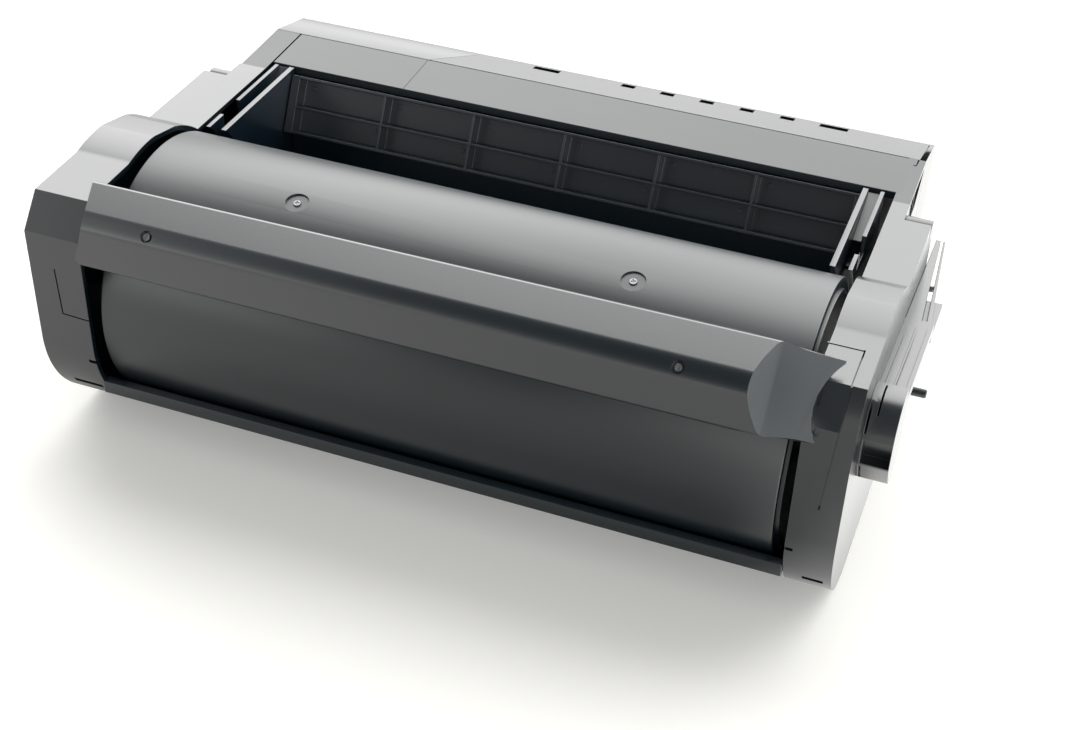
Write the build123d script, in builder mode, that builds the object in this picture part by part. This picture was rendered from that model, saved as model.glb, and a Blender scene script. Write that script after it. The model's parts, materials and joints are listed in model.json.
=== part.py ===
from build123d import *
import os
from math import atan2, ceil, cos, degrees, hypot, radians, sin, sqrt, tan

# Page-wide toner cartridge with a fixed hopper tube, a handle bar and a drum unit behind it.
# X runs along the rollers with the drive side at +X, Y runs to the back, Z is up.
# The origin is at the middle of the footprint, on the surface the cartridge rests on.

# Overall length, between the outer faces of the two end covers
cartridge_length = 340.0
left_face_x = -176.0
right_face_x = left_face_x + cartridge_length
left_cover_depth = 23.8
right_cover_depth = 18.8
left_inner_x = left_face_x + left_cover_depth
right_inner_x = right_face_x - right_cover_depth

# Clearances
seat_gap = 0.3
shaft_clearance = 0.05
roller_gap = 0.3

# Moulded walls
shell_wall = 2.4
rib_wall = 1.5

# Toner hopper
hopper_radius = 57.0
hopper_wall = 2.5
hopper_back_y = 4.0
hopper_axis_y = hopper_back_y - hopper_radius
tray_wall = 2.0
tray_gap = 1.5
tray_inner_radius = hopper_radius + tray_gap
tray_radius = tray_inner_radius + tray_wall
tray_lift = 0.5
hopper_axis_z = tray_radius + tray_lift
hopper_end_gap_left = 7.2
hopper_end_gap_right = 5.5
hopper_left_x = left_inner_x + hopper_end_gap_left
hopper_right_x = right_inner_x - hopper_end_gap_right
plug_thickness = 4.0
trunnion_radius = 18.0
trunnion_wall = 2.0
feed_angle = -25.0
feed_height = 12.0
fill_cap_radius = 11.0
fill_cap_wall = 3.0
fill_cap_recess = 8.0
fill_cap_reach = 4.0
fill_cap_bore_depth = 8.0
feed_margin = 15.0
screw_recess_radius = 4.9
screw_recess_depth = 1.2
screw_head_radius = 2.8
screw_head_height = 1.1
screw_radius = 1.5
screw_cross_length = 3.2
screw_cross_width = 0.6

# Stirrer
paddle_overhang = 10.0
paddle_tip_gap = 1.5
paddle_hub_wall = 2.0
paddle_thickness = 1.2
paddle_window_share = 0.45
paddle_windows = 4
paddle_strut = 10.0
agitator_bearing_depth = 7.0

# Front lip of the lower tray
lip_setback = 6.5
lip_drop = 36.5
lip_front_y = hopper_axis_y - tray_radius + lip_setback
lip_bottom_z = hopper_axis_z - lip_drop
lip_height = 6.0
lip_depth = 12.0
lip_root = 5.0
keel_half_width = 24.0
keel_height = 12.0
tray_back_reach = 47.0

# End cover profile
nose_overhang = 1.5
nose_radius = hopper_radius + nose_overhang
nose_front_y = hopper_axis_y - nose_radius
chamfer_depth = 11.0
chamfer_height = 13.5
brow_rise = 55.0
brow_length = 30.5
brow_z = hopper_axis_z + brow_rise
chamfer_bottom_z = brow_z - chamfer_height
chamfer_top_y = nose_front_y + chamfer_depth
brow_back_y = chamfer_top_y + brow_length
deck_drop = 10.5
deck_z = brow_z - deck_drop
deck_back_y = 35.0
notch_back_y = 48.0
notch_height = 10.0
notch_floor_z = deck_z - notch_height
boss_radius = 4.6
boss_lift = 3.2
notch_depth = 11.4
cover_back_y = 84.4
cover_bottom_z = 0.8
narrow_left = 12.4
narrow_right = 11.5
gear_bulge_y = 58.0
gear_bulge_z = 44.0
gear_bulge_rise = 8.0
cover_overlap = 10.0
pocket_overlap = 12.0
cover_heel_reach = 30.0
chamfer_lean = 0.45
shaft_boss_wall = 2.2
shaft_boss_height = 2.7
socket_wall = 2.5
socket_depth = 12.0
shaft_bore_depth = 20.0
brow_plate_gap = 8.0

# Developer pan, its cover and the blades
pan_bottom_z = 1.0
pan_heel = 4.0
pan_throat_angle = -31.6
blade_thickness = 1.2
blade_lean = (3.0, 12.0)
blade_end_margin = 8.0
cover_lap = 6.0
cover_lip = 1.6
cover_seat_angle = -8.0
cleaner_end_margin = 10.0
bracket_end_margin = 4.0
bracket_height = 9.4
bracket_thickness = 1.3

# Drum and the rollers round it
gear_module = 0.9
drum_radius = 15.0
drum_wall = 1.2
drum_axis_y = 36.0
drum_axis_z = 20.0
drum_shaft_radius = 3.0
locating_pin_radius = 2.0
drum_gear_teeth = 34
developer_radius = 9.0
developer_shaft_radius = 3.0
developer_angle = 165.0
developer_gear_teeth = 20
charge_radius = 6.0
charge_shaft_radius = 2.5
charge_angle = 60.0
waste_idler_teeth = 27
waste_auger_teeth = 14
waste_idler_angle = 30.0
auger_angle = -45.0
auger_radius = 6.5
auger_core_radius = 2.5
flight_pitch = 18.0
flight_tilt = 30.0
flight_thickness = 1.4
flight_end_margin = 12.0
cleaner_angle = 22.0
cleaner_rise = 10.5
pin_length = 9.3
pin_chamfer = 0.5
shaft_end_gap = 3.0
bush_radius = 6.0
bush_wall = 1.2
bearing_radius = 4.6
sleeve_end_gap = 6.0
shaft_overhang = 2.0
flange_plug = 10.0
flange_bore_margin = 2.0
post_radius = 3.0
post_base = 0.6
agitator_gear_teeth = 40
agitator_shaft_radius = 4.0
gear_width = 7.0
gear_side_gap = 1.2
drive_plate_thickness = 2.0
backlash = 0.16

# Side frames beside the long opening
left_wall_setback = 11.8
right_wall_setback = 12.7
left_wall_x = left_inner_x + left_wall_setback
right_wall_x = right_inner_x - right_wall_setback
side_wall = 2.4
outer_rib_step_left = 7.6
outer_rib_step_right = 7.3
outer_rib_wall = 1.8
channel_depth = 19.5
channel_floor_z = deck_z - channel_depth
channel_floor_wall = 2.0
channel_front_y = 20.0
frame_back_y = 54.0
frame_front_setback = 17.0
frame_front_y = hopper_back_y - frame_front_setback
frame_step = 6.0
frame_heel_y = 82.0
frame_bottom_z = 6.0
outer_rib_low_z = channel_floor_z - 6.0
rib_notch_depth = 8.0
rib_notch_front_y = 1.0
rib_notch_back_y = 15.5

# Ribbed wall behind the opening
grid_columns = 6
grid_margin = 4.0
grid_offset = 1.05
grid_pitch = (right_wall_x - left_wall_x - 2 * grid_margin) / grid_columns
grid_centre_x = (left_wall_x + right_wall_x) / 2 + grid_offset
grid_foot_y = 39.4
grid_foot_drop = 26.3
grid_foot_z = deck_z - grid_foot_drop
grid_angle = 62.8
grid_height = 27.0
grid_middle = 12.6
pocket_depth = 8.0

# Waste bin, top strip and rear cover
bin_front_y = 62.0
bin_back_y = 104.0
bin_bottom_z = 4.0
bin_headroom = 8.5
bin_knee_drop = 16.0
bin_inner_knee_drop = 14.0
bin_neck_rise = 12.0
bin_inner_neck_rise = 11.0
bin_inlet_margin = 10.0
bin_inlet_height = 16.0
bin_top_z = deck_z - bin_headroom
strip_front_y = 55.0
strip_back_y = 84.2
strip_rise = 1.6
strip_thickness = 2.2
strip_back_skirt = 4.0
strip_front_skirt = 3.6
strip_seat_depth = 4.5
slope_drop = 3.8
rear_face_y = 116.1
rear_corner_radius = 7.0
corner_share = 0.3
corner_sag = 0.34
rear_end_inset = 1.0
rear_end_drop = 6.0
slot_pitch = 19.2
slot_row_setback = 136.6
wide_slot_gap = 21.7
wide_slot_left_gap = 40.9
slot_first_x = right_inner_x - slot_row_setback
slot_count = 5
slot_length = 6.6
wide_slot_length = 13.0
slot_width = 4.6
slot_inset = 22.4

# Handle bar in front of the hopper
handle_end_gap = 0.7
handle_overreach = 10.4
handle_left_x = left_inner_x + handle_end_gap
handle_tip_x = right_face_x - handle_overreach
handle_standoff = 23.85
handle_angle = 137.81
handle_drop = 28.4
handle_reach = 21.1
ridge_reach = 17.9
ridge_drop = 7.2
ridge_round = 9.0
handle_edge = 2.2
handle_wall = 2.4
scoop_length = 29.9
scoop_slope = 7.3
notch_reach = 10.4
tip_setback = 4.0
scoop_ridge_x = handle_tip_x - scoop_length
scoop_edge_x = scoop_ridge_x + scoop_slope
notch_middle_x = handle_tip_x - notch_reach
handle_screw_inset_left = 33.1
handle_screw_inset_right = 55.7
handle_screw_x = (handle_left_x + handle_screw_inset_left, handle_tip_x - handle_screw_inset_right)
handle_screw_well = 4.6
handle_screw_head_radius = 2.3
handle_screw_head_height = 1.6
handle_screw_radius = 1.3
handle_screw_cross = 2.8
handle_post_radius = 4.2
handle_lip = 4.5
handle_lip_depth = 0.4
scoop_end_wall = 8.0
bite_share = 0.52
tool_overhang = 20.0
hopper_screw_inset_left = 69.8
hopper_screw_inset_right = 72.9
hopper_screw_x = (hopper_left_x + hopper_screw_inset_left, hopper_right_x - hopper_screw_inset_right)
hopper_screw_angle = 105.2

# Guide rail on the drive side: block behind the nose, sloping rail and rear block
rail_depth = 11.8
rail_outline = (
    (-87.0, 101.5), (-72.0, 100.0), (-72.0, 95.0), (-6.0, 86.0), (-6.0, 81.0), (10.0, 79.0),
    (22.0, 77.5), (22.0, 72.5), (2.0, 75.0), (-6.0, 76.0), (-10.0, 81.5), (-66.0, 89.0),
    (-66.0, 64.0), (-72.0, 62.0), (-84.0, 62.3), (-92.0, 75.5), (-93.5, 89.0),
)

# Feet under the end covers
foot_height = cover_bottom_z
foot_width = 7.0
foot_depth = 12.0
foot_front_reach = 38.0
foot_inset_left = 2.0
foot_inset_right = 1.0

# Derived axes
pitch_radius = {name: gear_module * teeth / 2 for name, teeth in {
    "drum": drum_gear_teeth,
    "developer": developer_gear_teeth,
    "waste_idler": waste_idler_teeth,
    "auger": waste_auger_teeth,
    "agitator": agitator_gear_teeth,
}.items()}
hopper_axis = (hopper_axis_y, hopper_axis_z)
drum_axis = (drum_axis_y, drum_axis_z)


def polar_point(centre, radius, angle):
    """Point at a radius and an angle in degrees from a centre, in the Y-Z section."""
    return (centre[0] + radius * cos(radians(angle)), centre[1] + radius * sin(radians(angle)))


def line_angle(start, end):
    """Direction in degrees from one point of the section to another."""
    return degrees(atan2(end[1] - start[1], end[0] - start[0]))


def third_corner(first, first_length, second, second_length):
    """Meeting point of two lengths drawn from two centres, on the lower side."""
    span = hypot(second[0] - first[0], second[1] - first[1])
    along = (first_length ** 2 - second_length ** 2 + span ** 2) / (2 * span)
    aside = sqrt(max(first_length ** 2 - along ** 2, 0.0))
    turn = degrees(atan2(aside, along))
    return polar_point(first, first_length, line_angle(first, second) + turn)


developer_axis = polar_point(drum_axis, pitch_radius["drum"] + pitch_radius["developer"], developer_angle)
charge_axis = polar_point(drum_axis, drum_radius + charge_radius + roller_gap, charge_angle)
waste_idler_axis = polar_point(
    drum_axis, pitch_radius["drum"] + pitch_radius["waste_idler"], waste_idler_angle)
auger_axis = polar_point(waste_idler_axis, pitch_radius["waste_idler"] + pitch_radius["auger"], auger_angle)
train_span = hypot(hopper_axis[0] - developer_axis[0], hopper_axis[1] - developer_axis[1])
train_gap = train_span - pitch_radius["developer"] - pitch_radius["agitator"]
train_idler_teeth = ceil(train_gap / gear_module) + 1
pitch_radius["train_idler"] = gear_module * train_idler_teeth / 2
train_idler_axis = third_corner(
    developer_axis,
    pitch_radius["developer"] + pitch_radius["train_idler"],
    hopper_axis,
    pitch_radius["train_idler"] + pitch_radius["agitator"],
)

strip_left_x = left_inner_x + 1.7
strip_right_x = right_inner_x + 2.8
drum_left_x = left_wall_x + side_wall / 2 + seat_gap
drum_right_x = right_wall_x - side_wall / 2 - seat_gap
right_gear_x = right_inner_x + drive_plate_thickness + gear_side_gap / 2
left_gear_x = left_inner_x - gear_side_gap - gear_width
tread_inner_z = cover_bottom_z + shell_wall


def section(x):
    """Y-Z section plane at a place along the cartridge."""
    return Plane.YZ.offset(x)


def radial_plane(x, angle, radius):
    """Plane that touches a hopper-centred cylinder, facing outward."""
    y, z = polar_point(hopper_axis, radius, angle)
    return Plane(origin=(x, y, z), x_dir=(1, 0, 0), z_dir=(0, cos(radians(angle)), sin(radians(angle))))


def gear_points(teeth, phase):
    """Outline of a spur gear with straight flanks and working backlash."""
    radius = gear_module * teeth / 2
    root = radius - 1.1 * gear_module
    tip = radius + 0.8 * gear_module
    half_pitch = 90.0 / teeth
    thinning = degrees(backlash / 2 / radius)
    flank = degrees(tan(radians(20)) * gear_module / radius)
    root_half = half_pitch - thinning + 1.1 * flank
    tip_half = half_pitch - thinning - 0.8 * flank
    points = []
    for index in range(teeth):
        middle = phase + index * 360.0 / teeth
        points.append(polar_point((0, 0), root, middle - root_half))
        points.append(polar_point((0, 0), tip, middle - tip_half))
        points.append(polar_point((0, 0), tip, middle + tip_half))
        points.append(polar_point((0, 0), root, middle + root_half))
    return points


def meshed_phase(driver_axis, driver_teeth, driver_phase, axis, teeth):
    """Phase that puts a gear's gap opposite the driver's tooth on the line of centres."""
    toward = line_angle(driver_axis, axis)
    driver_fraction = ((toward - driver_phase) / (360.0 / driver_teeth)) % 1.0
    return toward + 180.0 - (0.5 - driver_fraction) * (360.0 / teeth)


drum_phase = 0.0
developer_phase = meshed_phase(
    drum_axis, drum_gear_teeth, drum_phase, developer_axis, developer_gear_teeth)
train_idler_phase = meshed_phase(
    developer_axis, developer_gear_teeth, developer_phase, train_idler_axis, train_idler_teeth)
agitator_phase = meshed_phase(
    train_idler_axis, train_idler_teeth, train_idler_phase, hopper_axis, agitator_gear_teeth)
waste_idler_phase = meshed_phase(
    drum_axis, drum_gear_teeth, drum_phase, waste_idler_axis, waste_idler_teeth)
auger_phase = meshed_phase(
    waste_idler_axis, waste_idler_teeth, waste_idler_phase, auger_axis, waste_auger_teeth)

os.makedirs("parts", exist_ok=True)


def save(part, name):
    """Label a finished piece and write it under its own name."""
    part.label = name
    export_step(part, f"parts/{name}.step")


# Toner hopper: a plain tube with a feed slot towards the developer roller
with BuildPart() as toner_hopper:
    with BuildSketch(section(hopper_left_x)):
        with Locations(hopper_axis):
            Circle(hopper_radius)
            Circle(hopper_radius - hopper_wall, mode=Mode.SUBTRACT)
    extrude(amount=hopper_right_x - hopper_left_x)
    feed_length = drum_right_x - drum_left_x - 2 * feed_margin
    with BuildSketch(radial_plane(grid_centre_x, feed_angle, hopper_radius - 2 * hopper_wall)):
        Rectangle(feed_length, feed_height)
    extrude(amount=4 * hopper_wall, mode=Mode.SUBTRACT)
    for x in hopper_screw_x:
        with BuildSketch(radial_plane(x, hopper_screw_angle, hopper_radius - screw_recess_depth)):
            Circle(screw_recess_radius)
        extrude(amount=2 * screw_recess_depth, mode=Mode.SUBTRACT)
        with BuildSketch(radial_plane(x, hopper_screw_angle, hopper_radius)):
            Circle(screw_radius + shaft_clearance)
        extrude(amount=-2 * hopper_wall, mode=Mode.SUBTRACT)
save(toner_hopper.part, "toner_hopper")

# Screws that hold the stirrer's guide inside the hopper
with BuildPart() as hopper_screws:
    for x in hopper_screw_x:
        with BuildSketch(radial_plane(x, hopper_screw_angle, hopper_radius - screw_recess_depth)):
            Circle(screw_head_radius)
        extrude(amount=screw_head_height)
        with BuildSketch(radial_plane(x, hopper_screw_angle, hopper_radius - screw_recess_depth)):
            Circle(screw_radius)
        extrude(amount=-hopper_wall)
        head_top_radius = hopper_radius - screw_recess_depth + screw_head_height
        with BuildSketch(radial_plane(x, hopper_screw_angle, head_top_radius)):
            Rectangle(screw_cross_length, screw_cross_width)
            Rectangle(screw_cross_width, screw_cross_length)
        extrude(amount=-screw_cross_width, mode=Mode.SUBTRACT)
save(hopper_screws.part, "hopper_screws")


def hopper_plug(x_inner, x_outer, trunnion_end_x, bore):
    """End disc of the hopper with the trunnion that the end cover holds."""
    direction = 1 if x_outer > x_inner else -1
    with BuildPart() as plug:
        with BuildSketch(section(x_inner)):
            with Locations(hopper_axis):
                Circle(hopper_radius - hopper_wall)
        extrude(amount=x_outer - x_inner)
        with BuildSketch(section(x_outer)):
            with Locations(hopper_axis):
                Circle(trunnion_radius)
        extrude(amount=trunnion_end_x - x_outer)
        with BuildSketch(section(x_inner - direction)):
            with Locations(hopper_axis):
                Circle(bore)
        extrude(amount=trunnion_end_x - x_inner + 2 * direction, mode=Mode.SUBTRACT)
    return plug.part


left_trunnion_x = left_face_x + shell_wall + trunnion_wall
right_trunnion_x = right_inner_x + drive_plate_thickness
save(
    hopper_plug(hopper_left_x + plug_thickness, hopper_left_x, left_trunnion_x, fill_cap_radius),
    "hopper_left_plug",
)
agitator_bore = agitator_shaft_radius + shaft_clearance
save(
    hopper_plug(hopper_right_x - plug_thickness, hopper_right_x, right_trunnion_x, agitator_bore),
    "hopper_right_plug",
)

# Cap in the fill hole, with the blind bearing for the stirrer's other end
cap_inner_x = hopper_left_x + plug_thickness + fill_cap_reach
with BuildPart() as fill_cap:
    with BuildSketch(section(left_trunnion_x)):
        with Locations(hopper_axis):
            Circle(fill_cap_radius)
    extrude(amount=cap_inner_x - left_trunnion_x)
    with BuildSketch(section(left_trunnion_x)):
        with Locations(hopper_axis):
            Circle(fill_cap_radius - fill_cap_wall)
    extrude(amount=fill_cap_recess, mode=Mode.SUBTRACT)
    with BuildSketch(section(cap_inner_x)):
        with Locations(hopper_axis):
            Circle(agitator_bore)
    extrude(amount=-fill_cap_bore_depth, mode=Mode.SUBTRACT)
save(fill_cap.part, "fill_cap")

# Lower tray: a trough under the hopper with the front lip and a flat keel
with BuildPart() as lower_tray:
    tray_left_x = left_inner_x + seat_gap
    tray_right_x = right_inner_x - seat_gap
    lip_top_z = lip_bottom_z + lip_height
    with BuildSketch(section(tray_left_x)):
        with Locations(hopper_axis):
            Circle(tray_radius)
        with BuildLine():
            Polyline(
                (hopper_axis_y - keel_half_width, 0), (hopper_axis_y + keel_half_width, 0),
                (hopper_axis_y + keel_half_width, keel_height),
                (hopper_axis_y - keel_half_width, keel_height), close=True)
        make_face()
        with BuildLine():
            Polyline(
                (lip_front_y, lip_bottom_z), (lip_front_y, lip_top_z),
                (lip_front_y + lip_depth, lip_top_z),
                (lip_front_y + lip_depth, lip_bottom_z - lip_root),
                (lip_front_y + lip_root, lip_bottom_z - 1.0), close=True)
        make_face()
        with Locations(hopper_axis):
            Circle(tray_inner_radius, mode=Mode.SUBTRACT)
        with Locations((hopper_axis_y, lip_top_z + tray_radius)):
            Rectangle(3 * tray_radius, 2 * tray_radius, mode=Mode.SUBTRACT)
        with Locations((hopper_axis_y + tray_back_reach + tray_radius, hopper_axis_z)):
            Rectangle(2 * tray_radius, 3 * tray_radius, mode=Mode.SUBTRACT)
    extrude(amount=tray_right_x - tray_left_x)
save(lower_tray.part, "lower_tray")

# Developer housing under the developer roller
housing_left_x = drum_left_x
housing_length = drum_right_x - drum_left_x
with BuildPart() as developer_housing:
    pan_back_y = drum_axis_y - drum_radius - 2 * seat_gap
    pan_top_z = developer_axis[1] - developer_radius - pan_bottom_z
    with BuildSketch(section(housing_left_x)):
        pan_throat = polar_point(hopper_axis, tray_radius + 2 * seat_gap, pan_throat_angle)
        pan_front_y = hopper_axis_y + tray_radius / 2
        with BuildLine():
            Polyline(
                (pan_front_y, pan_bottom_z), (pan_back_y, pan_bottom_z),
                (pan_back_y, pan_top_z - pan_heel), (developer_axis[0], pan_top_z),
                (developer_axis[0] - developer_radius, pan_top_z + pan_bottom_z),
                pan_throat, (pan_front_y, pan_throat[1]), close=True)
        make_face()
        with Locations(hopper_axis):
            Circle(tray_radius + seat_gap, mode=Mode.SUBTRACT)
    extrude(amount=housing_length)
save(developer_housing.part, "developer_housing")

# Sloping wall that closes the developer chamber from above, below the light path
blade_foot = polar_point(developer_axis, developer_radius + roller_gap, 80)
with BuildPart() as developer_cover:
    hopper_seat = polar_point(hopper_axis, hopper_radius + seat_gap, cover_seat_angle)
    cover_toe = (blade_foot[0] + blade_lean[0] - blade_thickness, blade_foot[1] + blade_lean[1])
    with BuildSketch(section(housing_left_x)):
        with BuildLine():
            Polyline(
                hopper_seat, (cover_toe[0], cover_toe[1] + cover_lip),
                (cover_toe[0], cover_toe[1] - cover_lap),
                (cover_toe[0] - shell_wall, cover_toe[1] - cover_lap),
                (cover_toe[0] - shell_wall, cover_toe[1] - cover_lip),
                (hopper_seat[0] + seat_gap, hopper_seat[1] - shell_wall), close=True)
        make_face()
        with Locations(hopper_axis):
            Circle(hopper_radius + seat_gap, mode=Mode.SUBTRACT)
    extrude(amount=housing_length)
save(developer_cover.part, "developer_cover")

# Metering blade over the developer roller
with BuildPart() as doctor_blade:
    with BuildSketch(section(housing_left_x + blade_end_margin)):
        with BuildLine():
            Polyline(
                blade_foot, (blade_foot[0] + blade_thickness, blade_foot[1]),
                (cover_toe[0] + blade_thickness, cover_toe[1] + cover_lip),
                (cover_toe[0], cover_toe[1] + cover_lip),
                (cover_toe[0], cover_toe[1] - cover_lap - seat_gap), close=True)
        make_face()
    extrude(amount=housing_length - 2 * blade_end_margin)
save(doctor_blade.part, "doctor_blade")


def side_frame(wall_x, rib_x):
    """Bearing wall of the drum unit with the open channel along its outer side."""
    outward = 1 if rib_x > wall_x else -1
    with BuildPart() as frame:
        with BuildSketch(section(wall_x - side_wall / 2)):
            with BuildLine():
                Polyline(
                    (hopper_axis_y, deck_z), (frame_back_y, deck_z), (frame_back_y, deck_z - frame_step),
                    (frame_heel_y, bin_top_z - seat_gap), (frame_heel_y, frame_bottom_z),
                    (frame_front_y, frame_bottom_z), (frame_front_y, hopper_axis_z), close=True)
            make_face()
            with Locations(hopper_axis):
                Circle(tray_radius + seat_gap, mode=Mode.SUBTRACT)
            with Locations(drum_axis):
                Circle(bush_radius, mode=Mode.SUBTRACT)
            with Locations(developer_axis):
                Circle(bearing_radius, mode=Mode.SUBTRACT)
            with Locations(charge_axis):
                Circle(bearing_radius, mode=Mode.SUBTRACT)
            with Locations(auger_axis):
                Circle(auger_core_radius + shaft_clearance, mode=Mode.SUBTRACT)
        extrude(amount=side_wall)
        near_x = wall_x + outward * side_wall / 2
        with BuildSketch(section(near_x)):
            with Locations(((channel_front_y + frame_back_y) / 2, channel_floor_z)):
                Rectangle(frame_back_y - channel_front_y, channel_floor_wall)
        extrude(amount=rib_x - near_x)
        with BuildSketch(section(rib_x - outer_rib_wall / 2)):
            with BuildLine():
                Polyline(
                    (hopper_axis_y, deck_z), (frame_back_y, deck_z), (frame_back_y, outer_rib_low_z),
                    (hopper_axis_y, outer_rib_low_z), close=True)
            make_face()
            with Locations(hopper_axis):
                Circle(tray_radius + seat_gap, mode=Mode.SUBTRACT)
            with Locations(((rib_notch_front_y + rib_notch_back_y) / 2, deck_z)):
                Rectangle(rib_notch_back_y - rib_notch_front_y, 2 * rib_notch_depth, mode=Mode.SUBTRACT)
        extrude(amount=outer_rib_wall)
    return frame.part


save(side_frame(left_wall_x, left_wall_x - outer_rib_step_left), "left_side_frame")
save(side_frame(right_wall_x, right_wall_x + outer_rib_step_right), "right_side_frame")

# Ribbed wall: two rows of pockets on a slanted plate
grid_plane = Plane(
    origin=(grid_centre_x, grid_foot_y, grid_foot_z),
    x_dir=(1, 0, 0),
    z_dir=(0, -sin(radians(grid_angle)), cos(radians(grid_angle))),
)
with BuildPart() as ribbed_wall:
    with BuildSketch(grid_plane):
        with Locations(((drum_left_x + drum_right_x) / 2 - grid_centre_x, grid_height / 2)):
            Rectangle(housing_length, grid_height)
    extrude(amount=-pocket_depth - rib_wall)
    lower_height = grid_middle - 1.5 * rib_wall
    upper_height = grid_height - grid_middle - 1.5 * rib_wall
    with BuildSketch(grid_plane):
        for index in range(grid_columns):
            x = (index - (grid_columns - 1) / 2) * grid_pitch
            with Locations((x, rib_wall + lower_height / 2)):
                Rectangle(grid_pitch - rib_wall, lower_height)
            with Locations((x, grid_middle + rib_wall / 2 + upper_height / 2)):
                Rectangle(grid_pitch - rib_wall, upper_height)
    extrude(amount=-pocket_depth, mode=Mode.SUBTRACT)
save(ribbed_wall.part, "ribbed_wall")

# Waste toner bin behind the drum, with the inlet above its floor
with BuildPart() as waste_bin:
    grid_back = pocket_depth + rib_wall + seat_gap
    grid_up = (cos(radians(grid_angle)), sin(radians(grid_angle)))
    grid_in = (sin(radians(grid_angle)), -cos(radians(grid_angle)))
    bin_knee = (grid_foot_y + grid_in[0] * grid_back, grid_foot_z + grid_in[1] * grid_back)
    knee_rise = (bin_top_z - bin_knee[1]) / grid_up[1]
    bin_head = (bin_knee[0] + grid_up[0] * knee_rise, bin_top_z)
    with BuildSketch(section(housing_left_x)):
        with BuildLine():
            Polyline(
                (bin_front_y, bin_bottom_z), (bin_back_y, bin_bottom_z), (bin_back_y, bin_top_z),
                bin_head, bin_knee, (bin_knee[0], bin_knee[1] - bin_knee_drop),
                (bin_front_y, charge_axis[1] + bin_neck_rise), close=True)
        make_face()
    extrude(amount=housing_length)
    with BuildSketch(section(housing_left_x + shell_wall)):
        with BuildLine():
            Polyline(
                (bin_front_y + shell_wall, bin_bottom_z + shell_wall),
                (bin_back_y - shell_wall, bin_bottom_z + shell_wall),
                (bin_back_y - shell_wall, bin_top_z - shell_wall),
                (bin_head[0] + 2 * shell_wall, bin_top_z - shell_wall),
                (bin_knee[0] + shell_wall, bin_knee[1] - shell_wall),
                (bin_knee[0] + shell_wall, bin_knee[1] - bin_inner_knee_drop),
                (bin_front_y + shell_wall, charge_axis[1] + bin_inner_neck_rise), close=True)
        make_face()
    extrude(amount=housing_length - 2 * shell_wall, mode=Mode.SUBTRACT)
    with BuildSketch(section(housing_left_x + bin_inlet_margin)):
        with Locations((bin_front_y, drum_axis_z)):
            Rectangle(4 * shell_wall, bin_inlet_height)
    extrude(amount=housing_length - 2 * bin_inlet_margin, mode=Mode.SUBTRACT)
    for x in (housing_left_x, housing_left_x + housing_length - shell_wall):
        with BuildSketch(section(x)):
            with Locations(auger_axis):
                Circle(auger_core_radius + shaft_clearance)
        extrude(amount=shell_wall, mode=Mode.SUBTRACT)
save(waste_bin.part, "waste_bin")

# Photoconductor drum
with BuildPart() as drum_tube:
    with BuildSketch(section(drum_left_x + seat_gap)):
        with Locations(drum_axis):
            Circle(drum_radius)
            Circle(drum_radius - drum_wall, mode=Mode.SUBTRACT)
    extrude(amount=drum_right_x - drum_left_x - 2 * seat_gap)
save(drum_tube.part, "drum_tube")


def drum_flange(tube_end_x, gear_near_x, gear_far_x):
    """Flange pressed into the drum, with a hub through the wall and a gear outside it."""
    direction = 1 if gear_far_x > tube_end_x else -1
    with BuildPart() as flange:
        with BuildSketch(section(tube_end_x - direction * flange_plug)):
            with Locations(drum_axis):
                Circle(drum_radius - drum_wall)
        extrude(amount=direction * flange_plug)
        with BuildSketch(section(tube_end_x)):
            with Locations(drum_axis):
                Circle(bush_radius - bush_wall - shaft_clearance)
        extrude(amount=gear_near_x - tube_end_x)
        with BuildSketch(section(gear_near_x)):
            with Locations(drum_axis):
                Polygon(*gear_points(drum_gear_teeth, drum_phase), align=None)
        extrude(amount=gear_far_x - gear_near_x)
        bore_start_x = tube_end_x - direction * (flange_plug + flange_bore_margin)
        bore_end_x = gear_far_x + direction * flange_bore_margin
        with BuildSketch(section(bore_start_x)):
            with Locations(drum_axis):
                Circle(drum_shaft_radius)
        extrude(amount=bore_end_x - bore_start_x, mode=Mode.SUBTRACT)
    return flange.part


right_gear_far_x = right_gear_x + gear_width
save(drum_flange(drum_right_x - seat_gap, right_gear_x, right_gear_far_x), "drum_drive_gear")
save(drum_flange(drum_left_x + seat_gap, left_gear_x + gear_width, left_gear_x), "drum_waste_gear")

# Steel drum shaft: its turned-down end stands out of the drive side as the locating pin
shaft_shoulder_x = right_face_x + shaft_boss_height
shaft_left_x = left_face_x + shell_wall + shaft_end_gap
with BuildPart() as drum_shaft:
    with BuildSketch(section(shaft_left_x)):
        with Locations(drum_axis):
            Circle(drum_shaft_radius)
    extrude(amount=shaft_shoulder_x - shaft_left_x)
    with BuildSketch(section(shaft_shoulder_x)):
        with Locations(drum_axis):
            Circle(locating_pin_radius)
    extrude(amount=pin_length)
    chamfer(drum_shaft.edges().filter_by(GeomType.CIRCLE).sort_by(Axis.X)[-1], length=pin_chamfer)
save(drum_shaft.part, "drum_shaft")

# Plain bushes that carry the drum's hubs in the side frames
with BuildPart() as drum_bushes:
    for wall_x in (left_wall_x, right_wall_x):
        with BuildSketch(section(wall_x - side_wall / 2)):
            with Locations(drum_axis):
                Circle(bush_radius)
                Circle(bush_radius - bush_wall, mode=Mode.SUBTRACT)
        extrude(amount=side_wall)
save(drum_bushes.part, "drum_bushes")


def roller_shaft(axis, radius, left_x, right_x):
    """Plain steel shaft of a roller."""
    with BuildPart() as shaft:
        with BuildSketch(section(left_x)):
            with Locations(axis):
                Circle(radius)
        extrude(amount=right_x - left_x)
    return shaft.part


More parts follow.
